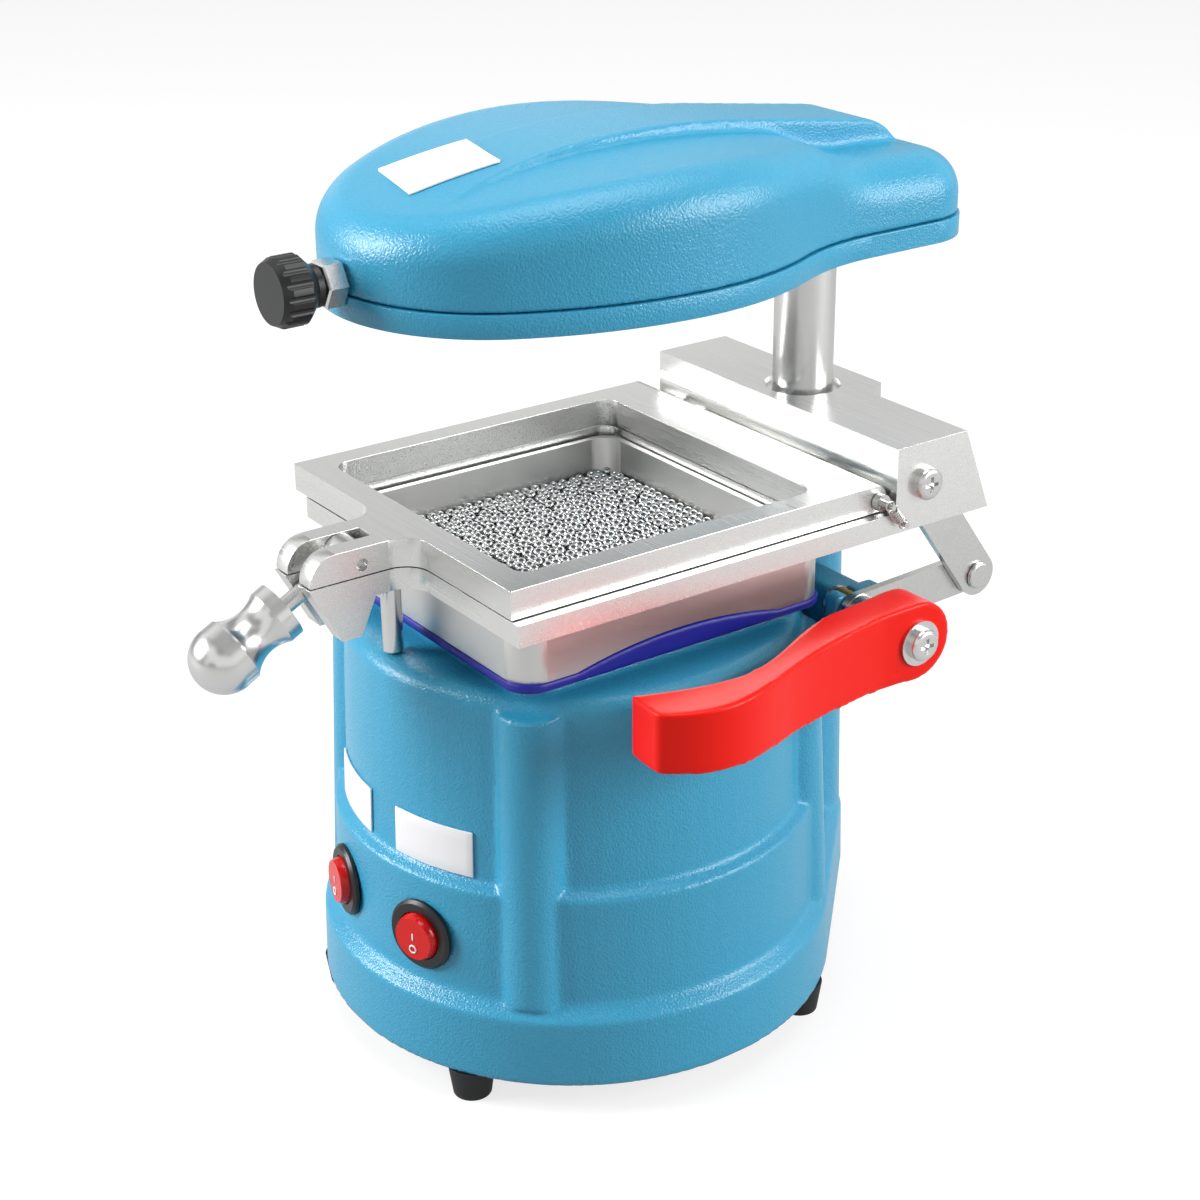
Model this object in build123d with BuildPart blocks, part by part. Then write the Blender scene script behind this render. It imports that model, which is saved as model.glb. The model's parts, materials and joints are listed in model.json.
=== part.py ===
from build123d import *
import os
from math import atan2, cos, degrees, radians, sin, tan

# Tabletop vacuum former: a round housing with the suction motor carries a rear post.
# A two-piece sheet frame slides on the post, moved by a side lever, under a swivelling heater head.
# Millimetres, +Z up, +X to the lever side, +Y to the post. Sizes below are counted from the
# drum's axis at floor level; frame_x and frame_y place that axis in the part's own frame.

# ---- shared clearances ----
running_gap = 0.05
flat_gap = 0.3
seat_gap = 0.3
root_overlap = 1.0

# ---- housing drum ----
foot_height = 12.0
wall = 4.0
drum_bottom_radius = 95.2
band_top_radius = 94.5
band_top_z = 37.5
band_ledge_radius = 89.3
band_ledge_z = 42.0
waist_radius = 88.3
waist_z = 82.0
upper_radius = 84.0
upper_z = 84.5
rim_radius = 81.5
deck_z = 154.0
rim_round = 6.0
deck_thickness = 6.0
platform_z = 158.5
platform_half = 58.0
duct_radius = 20.0
rib_radius = 12.0
rib_top_offset = 76.5
rib_foot_offset = 81.8
rib_top_z = 149.0
rib_angles = (45.0, 135.0, 225.0, 315.0)

# ---- feet and floor plate ----
foot_offset = 87.5
foot_angles = (-60.0, 35.0, 145.0, 240.0)
foot_top_radius = 8.5
foot_bottom_radius = 6.8
foot_recess_radius = 4.0
foot_recess_depth = 5.0
floor_thickness = 3.0
floor_gap = 0.3
foot_screw_radius = 2.0
foot_screw_head_radius = 3.6
foot_screw_head = 2.4
vent_offset = 45.0
vent_count = 8
vent_length = 24.0
vent_width = 6.0

# ---- post and rear column ----
post_y = 104.7
post_radius = 11.2
post_foot_z = 46.0
post_top_z = 294.0
column_top_radius = 16.0
web_inset = 1.0
column_foot_radius = 19.5
column_lobe_radius = 21.0
carriage_gap = 0.4
grub_radius = 3.0
grub_z = 110.0
grub_length = 7.0
grub_key_radius = 1.6
grub_mouth = 2.0
post_chamfer = 1.0

# ---- sheet frames ----
frame_half = 70.0
frame_front_y = -71.1
upper_frame_rear_y = 84.4
upper_frame_bottom_z = 190.4
upper_frame_thickness = 10.0
lower_frame_bottom_z = 182.3
lower_frame_top_z = 190.0
lower_frame_left = 62.3
lower_frame_right = 74.0
window_half = 60.5
window_front_y = -60.9
window_rear_y = 59.6
window_corner = 6.0
rear_top_round = 5.0
rear_bottom_round = 3.0
lug_half = 11.6
lug_front_y = -109.9
lug_round = 10.0
lug_fillet = 9.5
slot_half = 4.0
slot_rear_y = -82.5
lower_lug_drop_y = -101.2
lower_lug_bottom_z = 169.0
lower_lug_heel_y = -92.0
lower_lug_heel_run = 6.0

# ---- rear block of the lower frame ----
block_front_y = 85.4
block_top_z = 213.6
block_top_rear_y = 117.5
boss_root = 1.0
block_bottom_rear_y = 129.8
boss_rear_y = 128.5
boss_half = 17.0
boss_foot_half = 26.0
cheek_thickness = 3.4
link_slot_width = 4.4
link_slot_front_y = 87.0
link_slot_top_z = 209.6
sleeve_radius = 14.2
sleeve_recess = 2.0

# ---- frame hinge ----
hinge_y = 80.6
hinge_z = 194.6
hinge_pin_radius = 2.0
hinge_head_radius = 3.1
hinge_head = 2.6
knuckle_radius = 4.1
knuckle_inner_x = 36.0
knuckle_width = 12.0
knuckle_side_gap = 0.4

# ---- swing clamp ----
clamp_y = -90.4
clamp_z = 194.2
clamp_tilt = 28.5
clamp_pin_radius = 2.1
clamp_pin_recess = 3.2
eye_radius = 6.0
eye_half = 3.7
bolt_radius = 3.0
bolt_length = 45.0
clamp_backed_off = 7.5  # the knob stands unscrewed this far, so that its flange clears the lower lug
flange_start = 20.1 + clamp_backed_off
flange_thickness = 4.8
flange_radius = 10.1
neck_radius = 8.2
collar_start = 39.3 + clamp_backed_off
collar_radius = 11.7
collar_edge = 0.8
ball_offset = 45.0 + clamp_backed_off
ball_radius = 11.8
knob_bore_end = 47.0 + clamp_backed_off

# ---- rest pin ----
rest_pin_y = -74.0
rest_pin_radius = 3.6
rest_pin_socket = 5.0
rest_pin_chamfer = 0.8

# ---- lever linkage ----
shaft_y = 77.3
shaft_z = 151.8
shaft_radius = 4.0
bush_radius = 6.0
crank_pin_y = 130.9
crank_pin_z = 153.8
link_top_y = 98.6
link_top_z = 198.6
crank_half_width = 7.2
crank_inner_x = 63.7
crank_thickness = 3.0
link_half_width = 7.9
link_thickness = 3.0
link_play = 2.3
crank_pin_radius = 3.0
rivet_head_radius = 5.0
rivet_head = 1.6
link_screw_radius = 3.0
link_screw_head_radius = 5.9
link_screw_head = 3.6
link_screw_depth = 5.0
lever_inner_x = 81.0
lever_outer_x = 97.0
hub_radius = 14.4
spacer_radius = 7.0
arm_bottom_z = 143.0
arm_top_z = 164.0
arm_round = 3.5
arm_outer = ((97.0, 62.0), (100.5, 40.5), (108.1, 11.6), (115.6, -11.5), (106.9, -42.0))
arm_inner = ((91.1, -40.8), (99.6, -15.3), (100.2, 3.9), (94.8, 18.6), (83.5, 50.0))
lever_washer_radius = 8.2
lever_washer = 1.2
lever_screw_radius = 5.8
lever_screw_head = 3.4
lever_screw_shank = 2.5
lever_screw_depth = 12.0
shaft_collar = 2.4
collar_recess_radius = 7.5
cross_slot_width = 1.3
cross_slot_depth = 1.2

# ---- lever bracket ----
bracket_outer_x = 63.3
bracket_thickness = 7.3
bracket_front_y = 69.5
bracket_rear_y = 91.0
bracket_top_z = 158.3
bracket_bottom_z = 120.0
web_front_y = 78.0
web_top_z = 155.0

# ---- return spring beside the hinge ----
spring_hook_y = 87.2
spring_hook_z = 186.6
spring_x = 76.2
spring_radius = 1.7
spring_wire = 0.35
spring_pitch = 0.95
spring_post_radius = 1.1
spring_post_end = 78.2
hook_radius = 1.1

# ---- shot pan ----
pan_half = 63.8
pan_corner = 10.0
pan_bottom_z = 161.7
pan_top_gap = 0.6
neck_half = 58.8
neck_inner_half = 56.5
neck_top_z = 187.0
neck_corner = 8.0
pan_floor = 3.0
pan_hole_half = 42.0
pan_arch = 5.0
pan_arch_half = 42.0
pan_arch_depth = 6.0
screen_half = 50.0
screen_thickness = 1.0
screen_hole_radius = 1.3
screen_pitch = 9.0
shot_top_z = 175.0
shot_gap = 0.3
pad_half = 64.6
pad_window_half = 44.0

# ---- suction motor ----
fan_radius = 58.0
fan_height = 26.0
fan_wall = 2.0
gasket_thickness = 2.0
gasket_radius = 40.0
inlet_radius = 15.0
motor_radius = 38.0
motor_height = 72.0
motor_cap_radius = 17.0
motor_cap_height = 9.0
motor_shaft_radius = 4.0
motor_shaft_hole_gap = 1.0
impeller_radius = 50.0
impeller_blades = 9
impeller_disc = 2.0
impeller_blade_height = 13.0
impeller_lift = 3.0
hanger_radius = 3.0
hanger_offset = 66.0
hanger_count = 4
hanger_head = 3.5
exhaust_count = 4
exhaust_start = 45.0
exhaust_width = 22.0
exhaust_height = 14.0
exhaust_lip = 1.0
impeller_sweep = 35.0

# ---- switches and label plates ----
switch_angles = {"heat": -71.5, "form": -102.0}
switch_z = 60.0
bezel_radius = 13.0
bezel_height = 2.2
switch_body_radius = 10.0
switch_depth = 20.0
switch_pocket_radius = 9.0
switch_pocket_depth = 10.0
rocker_swing_radius = 8.7
rocker_high_slope = 20.0
rocker_low_slope = 4.0
rocker_depth = 4.0
rocker_valley = 1.4
rocker_pin_radius = 0.8
rocker_pin_half = 9.4
bezel_chamfer = 1.0
label_bottom_z = 85.5
label_top_z = 102.5
label_thickness = 0.8
label_gap = 0.1
label_spans = ((-81.9, 23.1), (-115.4, 23.1))

# ---- mains inlet parts ----
gland_angle = 143.0
gland_z = 26.0
gland_radius = 7.5
gland_length = 22.0
gland_nut_rim = 3.0
fuse_cap_rim = 2.0
fuse_slot_width = 1.2
gland_bore_radius = 3.6
fuse_angle = 158.0
fuse_radius = 6.5
fuse_length = 6.0
gland_inset = 9.2
gland_seat = drum_bottom_radius - gland_inset
gland_nut = 4.0
terminal_place = (-52.0, 20.0)
terminal_length = 36.0
terminal_width = 14.0
terminal_height = 12.0
terminal_ways = 4
terminal_screw_radius = 2.0

# ---- heater head ----
head_bottom_z = 274.3
head_seam_z = 282.3
head_front_y = -87.3
head_rear_y = 144.5
head_rear_corner = 22.0
head_arcs = ((59.3, 61.3), (139.6, 26.0), (104.7, 29.4), (78.7, -26.7))
head_wall = 2.5
head_floor = 2.0
head_step = 0.8
seam_gap = 0.3
crown_start = (-95.0, 301.9)
crown_heading = 18.0
crown_steps = ((353.0, -26.6), (30.0, -21.4), (50.0, 28.0), (70.0, 0.0))
head_edge_round = 15.0
crown_rim_depth = 3.0
head_blank_height = 60.0
head_blank_half = 108.0
spine_half = 17.5
spine_flare = 9.5
spine_flare_y = -15.0
spine_start = (-68.0, 309.0)
spine_heading = 17.3
spine_steps = ((303.0, -24.9), (54.0, 0.0), (20.0, -42.0), (6.0, 0.0))
burner_radius = 54.0
hub_outer_radius = 20.0
hub_cap = 4.0
element_radii = (15.0, 29.0, 43.0)
element_wire_radius = 3.0
bar_count = 3
bar_first_angle = 30.0
bar_start = 10.0
bar_end = 56.5
bar_width = 6.0
bar_height = 5.0
reflector_radius = 58.0
reflector_top_radius = 38.0
reflector_height = 20.0
reflector_skirt = 8.0
reflector_thickness = 0.8
heater_block_y = 74.0
heater_block_length = 22.0
heater_block_width = 10.0
heater_block_height = 12.0
stud_radius = 3.0
stud_z = 286.2
stud_tail = 12.0
nut_front_y = -94.3
nut_flats = 14.0
nut_chamfer = 0.6
inner_nut_gap = 0.8
handle_front_y = -111.5
handle_rear_y = -95.3
handle_radius = 11.4
handle_neck_radius = 7.0
handle_neck_length = 2.0
handle_flutes = 16
flute_radius = 1.5
head_label_width = 29.5
head_label_length = 31.0
head_label_place = (-6.3, -45.0)
head_label_turn = -11.0

# The part's origin is under the middle of the whole machine, so the drum axis stands off it.
lever_reach = max(x for x, y in arm_outer)
ball_reach = clamp_y - ball_offset * cos(radians(clamp_tilt)) - ball_radius
frame_x = (lever_reach - drum_bottom_radius) / 2
frame_y = (head_rear_y + ball_reach) / 2


def level(z):
    """Horizontal sketch plane at height z; sketch x, y are the machine's x, y."""
    return Plane(origin=(-frame_x, -frame_y, z))


def side(x):
    """Upright sketch plane facing +X; sketch x, y are the machine's y, z."""
    return Plane(origin=(x - frame_x, -frame_y, 0), x_dir=(0, 1, 0), z_dir=(1, 0, 0))


def facing(y):
    """Upright sketch plane facing -Y; sketch x, y are the machine's x, z."""
    return Plane(origin=(-frame_x, y - frame_y, 0), x_dir=(1, 0, 0), z_dir=(0, -1, 0))


def polar(radius, angle):
    """Point on a circle about the drum axis, angle in degrees from +X."""
    return (radius * cos(radians(angle)), radius * sin(radians(angle)))


def radial_plane(radius, angle, z, lean=0.0):
    """Plane on the drum wall, facing out and leaning up by lean degrees; its x axis is level."""
    x, y = polar(radius, angle)
    outward = Vector(cos(radians(angle)), sin(radians(angle)), tan(radians(lean)))
    along = (-sin(radians(angle)), cos(radians(angle)), 0)
    return Plane(origin=(x - frame_x, y - frame_y, z), x_dir=along, z_dir=outward)


def switch_plane(angle):
    """Face of the lower wall where a switch sits."""
    lean = degrees(atan2(band_ledge_radius - waist_radius, waist_z - band_ledge_z))
    drop = (switch_z - band_ledge_z) / (waist_z - band_ledge_z)
    radius = band_ledge_radius - drop * (band_ledge_radius - waist_radius)
    return radial_plane(radius, angle, switch_z, lean)


drum_axis = Axis((-frame_x, -frame_y, 0), (0, 0, 1))


os.makedirs("parts", exist_ok=True)


def save(builder, name):
    """Label a finished sub-part and write it."""
    builder.part.label = name
    export_step(builder.part, f"parts/{name}.step")


# ================= housing =================
def drum_points(inset, top):
    """Half section of the drum wall as (radius, height); inset moves it inwards."""
    return [
        (0, foot_height),
        (drum_bottom_radius - inset, foot_height),
        (band_top_radius - inset, band_top_z),
        (band_ledge_radius - inset, band_ledge_z),
        (waist_radius - inset, waist_z),
        (upper_radius - inset, upper_z),
        (rim_radius - inset, top),
        (0, top),
    ]


def teardrop(z, radius, inset=0.0):
    """Plan of the lower band at height z: the drum circle drawn back to the column's lobe."""
    with BuildSketch(level(z)) as outline:
        Circle(radius - inset)
        with Locations((0, post_y)):
            Circle(column_lobe_radius + radius - drum_bottom_radius - inset)
        make_hull()
    return outline.sketch


column_top_z = lower_frame_bottom_z - carriage_gap
deck_under_z = deck_z - deck_thickness

with BuildPart() as base_housing:
    with BuildSketch(side(0)):
        with BuildLine():
            Polyline(drum_points(0, deck_z), close=True)
        make_face()
    revolve(axis=drum_axis)
    fillet(base_housing.edges().group_by(Axis.Z)[-1], radius=rim_round)
    # lower band with the lobe under the column
    loft([teardrop(foot_height, drum_bottom_radius), teardrop(band_top_z, band_top_radius)])
    loft([teardrop(band_top_z, band_top_radius), teardrop(band_ledge_z, band_ledge_radius)])
    # screw ribs, leaning with the wall
    for angle in rib_angles:
        with BuildSketch(level(band_ledge_z - root_overlap)):
            with Locations(polar(rib_foot_offset, angle)):
                Circle(rib_radius)
        with BuildSketch(level(rib_top_z)):
            with Locations(polar(rib_top_offset, angle)):
                Circle(rib_radius)
        loft()
    # rear column and the web that joins it to the drum
    with BuildSketch(level(band_top_z)):
        with Locations((0, post_y)):
            Circle(column_foot_radius)
    with BuildSketch(level(column_top_z)):
        with Locations((0, post_y)):
            Circle(column_top_radius)
    loft()
    with BuildSketch(level(band_ledge_z - root_overlap)):
        with Locations((0, post_y / 2 + rim_radius / 2 - wall)):
            Rectangle(2 * (column_top_radius - web_inset), post_y - rim_radius + 2 * wall)
    extrude(amount=web_top_z - band_ledge_z + root_overlap)
    # lever bracket: web out from the column and the upright lug that holds the shaft
    with BuildSketch(level(bracket_bottom_z)):
        with Locations((bracket_outer_x / 2, (web_front_y + bracket_rear_y) / 2)):
            Rectangle(bracket_outer_x, bracket_rear_y - web_front_y)
    extrude(amount=web_top_z - bracket_bottom_z)
    with BuildSketch(level(bracket_bottom_z)):
        with Locations((bracket_outer_x - bracket_thickness / 2, (bracket_front_y + bracket_rear_y) / 2)):
            Rectangle(bracket_thickness, bracket_rear_y - bracket_front_y)
    extrude(amount=bracket_top_z - bracket_bottom_z)
    # platform under the pan
    with BuildSketch(level(deck_z)):
        RectangleRounded(2 * platform_half, 2 * platform_half, pan_corner)
    extrude(amount=platform_z - deck_z)
    # inside of the drum
    with BuildSketch(side(0)):
        with BuildLine():
            Polyline(drum_points(wall, deck_under_z), close=True)
        make_face()
    revolve(axis=drum_axis, mode=Mode.SUBTRACT)
    extrude(
        teardrop(foot_height, drum_bottom_radius, wall),
        amount=floor_thickness + floor_gap,
        mode=Mode.SUBTRACT,
    )
    # air duct, post bore, grub screw hole and shaft bore
    with BuildSketch(level(deck_under_z)):
        Circle(duct_radius)
    extrude(amount=platform_z - deck_under_z, mode=Mode.SUBTRACT)
    with BuildSketch(level(post_foot_z)):
        with Locations((0, post_y)):
            Circle(post_radius + running_gap)
    extrude(amount=column_top_z - post_foot_z, mode=Mode.SUBTRACT)
    with BuildSketch(facing(post_y + column_foot_radius + grub_mouth)):
        with Locations((0, grub_z)):
            Circle(grub_radius)
    extrude(amount=column_foot_radius + grub_mouth - post_radius, mode=Mode.SUBTRACT, dir=(0, -1, 0))
    with BuildSketch(side(bracket_outer_x - bracket_thickness)):
        with Locations((shaft_y, shaft_z)):
            Circle(bush_radius + running_gap)
    extrude(amount=bracket_thickness, mode=Mode.SUBTRACT)
    # recess behind the bracket for the shaft's collar
    with BuildSketch(side(bracket_outer_x - bracket_thickness)):
        with Locations((shaft_y, shaft_z)):
            Circle(collar_recess_radius)
    extrude(amount=-(shaft_collar + seat_gap), mode=Mode.SUBTRACT)
    # holes for the two switches
    for angle in switch_angles.values():
        with BuildSketch(switch_plane(angle)):
            Circle(switch_body_radius + running_gap)
        extrude(amount=2 * wall, both=True, mode=Mode.SUBTRACT)
    # holes for the cord gland and the fuse holder
    for angle, radius in ((gland_angle, gland_radius), (fuse_angle, fuse_radius)):
        with BuildSketch(radial_plane(drum_bottom_radius, angle, gland_z)):
            Circle(radius + running_gap)
        extrude(amount=2 * wall, both=True, mode=Mode.SUBTRACT)
save(base_housing, "base_housing")

# floor plate with its screws in the ribs, rubber feet and foot screws
floor_z = foot_height
with BuildPart() as base_plate:
    extrude(teardrop(floor_z, drum_bottom_radius, wall + floor_gap), amount=floor_thickness)
    with BuildSketch(level(floor_z)):
        for angle in foot_angles:
            with Locations(polar(foot_offset, angle)):
                Circle(foot_screw_radius + running_gap)
        with PolarLocations(vent_offset, vent_count):
            SlotOverall(vent_length, vent_width)
    extrude(amount=floor_thickness, mode=Mode.SUBTRACT)
save(base_plate, "base_plate")

with BuildPart() as rubber_feet:
    for angle in foot_angles:
        with BuildSketch(level(0)):
            with Locations(polar(foot_offset, angle)):
                Circle(foot_bottom_radius)
        with BuildSketch(level(foot_height)):
            with Locations(polar(foot_offset, angle)):
                Circle(foot_top_radius)
        loft()
        with BuildSketch(level(0)):
            with Locations(polar(foot_offset, angle)):
                Circle(foot_recess_radius)
        extrude(amount=foot_recess_depth, mode=Mode.SUBTRACT)
        with BuildSketch(level(foot_recess_depth)):
            with Locations(polar(foot_offset, angle)):
                Circle(foot_screw_radius + running_gap)
        extrude(amount=foot_height - foot_recess_depth, mode=Mode.SUBTRACT)
save(rubber_feet, "rubber_feet")

with BuildPart() as foot_screws:
    for angle in foot_angles:
        with BuildSketch(level(foot_recess_depth)):
            with Locations(polar(foot_offset, angle)):
                Circle(foot_screw_head_radius)
        extrude(amount=-foot_screw_head)
        with BuildSketch(level(foot_recess_depth)):
            with Locations(polar(foot_offset, angle)):
                Circle(foot_screw_radius)
        extrude(amount=foot_height - foot_recess_depth + floor_thickness - floor_gap)
save(foot_screws, "foot_screws")

with BuildPart() as post:
    with BuildSketch(level(post_foot_z + seat_gap)):
        with Locations((0, post_y)):
            Circle(post_radius)
    extrude(amount=post_top_z - post_foot_z - seat_gap)
    chamfer(post.edges().group_by(Axis.Z)[-1], length=post_chamfer)
save(post, "post")

with BuildPart() as post_grub_screw:
    with BuildSketch(facing(post_y + post_radius + running_gap + grub_length)):
        with Locations((0, grub_z)):
            Circle(grub_radius - running_gap)
            RegularPolygon(grub_key_radius, 6, mode=Mode.SUBTRACT)
    extrude(amount=grub_length)
    with BuildSketch(facing(post_y + post_radius + running_gap + grub_length / 2)):
        with Locations((0, grub_z)):
            Circle(grub_radius - running_gap)
    extrude(amount=grub_length / 2)
save(post_grub_screw, "post_grub_screw")

with BuildPart() as shaft_bush:
    with BuildSketch(side(bracket_outer_x - bracket_thickness)):
        with Locations((shaft_y, shaft_z)):
            Circle(bush_radius)
            Circle(shaft_radius + running_gap, mode=Mode.SUBTRACT)
    extrude(amount=bracket_thickness)
save(shaft_bush, "shaft_bush")


# ================= shot pan on the drum =================
def arch(x, rise):
    """Flat arch outline on the upright plane at x, springing from the pan's lower face."""
    with BuildSketch(side(x)) as outline:
        with BuildLine():
            Line((-pan_arch_half, pan_bottom_z), (pan_arch_half, pan_bottom_z))
            ThreePointArc(
                (pan_arch_half, pan_bottom_z),
                (0, pan_bottom_z + rise),
                (-pan_arch_half, pan_bottom_z),
            )
        make_face()
    return outline.sketch


with BuildPart() as seal_pad:
    with BuildSketch(level(platform_z)):
        RectangleRounded(2 * pad_half, 2 * pad_half, pan_corner)
        Rectangle(2 * pad_window_half, 2 * pad_window_half, mode=Mode.SUBTRACT)
    extrude(amount=pan_bottom_z - platform_z)
    # humps that fill the arches under the pan's side walls
    hump_rise = pan_arch - flat_gap
    hump_depth = pan_arch_depth - flat_gap - pan_half + pad_half
    extrude(arch(pad_half, hump_rise), amount=hump_depth, dir=(-1, 0, 0))
    extrude(arch(-pad_half, hump_rise), amount=hump_depth, dir=(1, 0, 0))
save(seal_pad, "seal_pad")

pan_shoulder_z = lower_frame_bottom_z - pan_top_gap
with BuildPart() as shot_pan:
    with BuildSketch(level(pan_bottom_z)):
        RectangleRounded(2 * pan_half, 2 * pan_half, pan_corner)
    extrude(amount=pan_shoulder_z - pan_bottom_z)
    extrude(arch(pan_half, pan_arch), amount=pan_arch_depth, dir=(-1, 0, 0), mode=Mode.SUBTRACT)
    extrude(arch(-pan_half, pan_arch), amount=pan_arch_depth, dir=(1, 0, 0), mode=Mode.SUBTRACT)
    with BuildSketch(level(pan_shoulder_z)):
        RectangleRounded(2 * neck_half, 2 * neck_half, neck_corner)
    extrude(amount=neck_top_z - pan_shoulder_z)
    with BuildSketch(level(pan_bottom_z + pan_floor)):
        RectangleRounded(2 * neck_inner_half, 2 * neck_inner_half, neck_corner)
    extrude(amount=neck_top_z - pan_bottom_z - pan_floor, mode=Mode.SUBTRACT)
    with BuildSketch(level(pan_bottom_z)):
        RectangleRounded(2 * pan_hole_half, 2 * pan_hole_half, pan_corner)
    extrude(amount=pan_floor, mode=Mode.SUBTRACT)
save(shot_pan, "shot_pan")

pan_screen_z = pan_bottom_z + pan_floor
screen_holes = int(2 * pan_hole_half / screen_pitch)
with BuildPart() as pan_screen:
    with BuildSketch(level(pan_screen_z)):
        Rectangle(2 * screen_half, 2 * screen_half)
        with GridLocations(screen_pitch, screen_pitch, screen_holes, screen_holes):
            Circle(screen_hole_radius, mode=Mode.SUBTRACT)
    extrude(amount=screen_thickness)
save(pan_screen, "pan_screen")

shot_floor_z = pan_screen_z + screen_thickness
with BuildPart() as steel_shot:
    with BuildSketch(level(shot_floor_z)):
        shot_half = neck_inner_half - shot_gap
        RectangleRounded(2 * shot_half, 2 * shot_half, neck_corner - shot_gap)
    extrude(amount=shot_top_z - shot_floor_z)
save(steel_shot, "steel_shot")

# ================= suction motor under the deck =================
fan_top_z = deck_under_z - gasket_thickness
fan_bottom_z = fan_top_z - fan_height
with BuildPart() as motor_gasket:
    with BuildSketch(level(fan_top_z)):
        Circle(gasket_radius)
        Circle(duct_radius, mode=Mode.SUBTRACT)
    extrude(amount=gasket_thickness)
save(motor_gasket, "motor_gasket")

with BuildPart() as fan_housing:
    with BuildSketch(level(fan_bottom_z)):
        Circle(fan_radius)
        with PolarLocations(hanger_offset - 2 * hanger_radius, hanger_count):
            Circle(3 * hanger_radius)
    extrude(amount=fan_height)
    with BuildSketch(level(fan_bottom_z + fan_wall)):
        Circle(impeller_radius + fan_wall)
    extrude(amount=fan_height - 2 * fan_wall, mode=Mode.SUBTRACT)
    with BuildSketch(level(fan_top_z - fan_wall)):
        Circle(inlet_radius)
    extrude(amount=fan_wall, mode=Mode.SUBTRACT)
    with BuildSketch(level(fan_bottom_z)):
        Circle(motor_shaft_radius + motor_shaft_hole_gap)
        with PolarLocations(hanger_offset - hanger_radius, hanger_count):
            Circle(hanger_radius + running_gap)
    extrude(amount=fan_height, mode=Mode.SUBTRACT)
    with BuildSketch(level(fan_bottom_z + fan_wall + exhaust_height / 2 + exhaust_lip)):
        with PolarLocations(fan_radius, exhaust_count, start_angle=exhaust_start):
            Rectangle(3 * fan_wall + fan_radius - impeller_radius, exhaust_width)
    extrude(amount=exhaust_height / 2, both=True, mode=Mode.SUBTRACT)
save(fan_housing, "fan_housing")

with BuildPart() as fan_screws:
    for place in range(hanger_count):
        spot = polar(hanger_offset - hanger_radius, 360 / hanger_count * place)
        with BuildSketch(level(fan_bottom_z - hanger_head)):
            with Locations(spot):
                RegularPolygon(2 * hanger_radius, 6)
        extrude(amount=hanger_head)
        with BuildSketch(level(fan_bottom_z)):
            with Locations(spot):
                Circle(hanger_radius)
        extrude(amount=deck_under_z - fan_bottom_z)
save(fan_screws, "fan_screws")

motor_bottom_z = fan_bottom_z - motor_height
with BuildPart() as motor_can:
    with BuildSketch(level(motor_bottom_z)):
        Circle(motor_radius)
    extrude(amount=motor_height)
    fillet(motor_can.edges().group_by(Axis.Z)[0], radius=motor_cap_height / 2)
    with BuildSketch(level(motor_bottom_z)):
        Circle(motor_cap_radius)
    extrude(amount=-motor_cap_height)
    with BuildSketch(level(motor_bottom_z + motor_cap_height)):
        Circle(motor_shaft_radius + running_gap)
    extrude(amount=motor_height - motor_cap_height, mode=Mode.SUBTRACT)
save(motor_can, "motor_can")

impeller_z = fan_bottom_z + fan_wall + impeller_lift
with BuildPart() as impeller:
    with BuildSketch(level(impeller_z)):
        Circle(impeller_radius)
    extrude(amount=impeller_disc)
    with BuildSketch(level(impeller_z + impeller_disc)):
        Circle(2 * motor_shaft_radius)
        with PolarLocations((impeller_radius + 2 * motor_shaft_radius) / 2, impeller_blades):
            Rectangle(impeller_radius - 2.5 * motor_shaft_radius, fan_wall, rotation=impeller_sweep)
    extrude(amount=impeller_blade_height)
    with BuildSketch(level(impeller_z)):
        Circle(motor_shaft_radius)
    extrude(amount=impeller_disc + impeller_blade_height, mode=Mode.SUBTRACT)
save(impeller, "impeller")

motor_shaft_foot_z = motor_bottom_z + motor_cap_height + seat_gap
motor_shaft_head_z = impeller_z + impeller_disc + impeller_blade_height
with BuildPart() as motor_shaft:
    with BuildSketch(level(motor_shaft_foot_z)):
        Circle(motor_shaft_radius)
    extrude(amount=motor_shaft_head_z - motor_shaft_foot_z)
save(motor_shaft, "motor_shaft")

# ================= switches, plates and mains inlet =================
def switch_body(plane):
    """Round bezel and barrel with an open pocket for the rocker."""
    with BuildPart() as body:
        with BuildSketch(plane):
            Circle(bezel_radius)
        extrude(amount=bezel_height)
        chamfer(body.edges().sort_by(Axis(plane.origin, plane.z_dir))[-1], length=bezel_chamfer)
        with BuildSketch(plane):
            Circle(switch_body_radius)
        extrude(amount=-switch_depth)
        with BuildSketch(plane.offset(bezel_height)):
            Circle(switch_pocket_radius)
        extrude(amount=-(switch_pocket_depth + bezel_height), mode=Mode.SUBTRACT)
        with BuildSketch(rocker_side(plane)):
            Circle(rocker_pin_radius + running_gap)
        extrude(amount=rocker_pin_half + seat_gap, both=True, mode=Mode.SUBTRACT)
    return body


def rocker_side(plane):
    """Plane across a switch through the rocker's pivot: sketch x is up, sketch y is outwards."""
    up = plane.z_dir.cross(plane.x_dir)
    return Plane(origin=plane.offset(bezel_height / 2).origin, x_dir=up, z_dir=plane.x_dir * -1)


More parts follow.
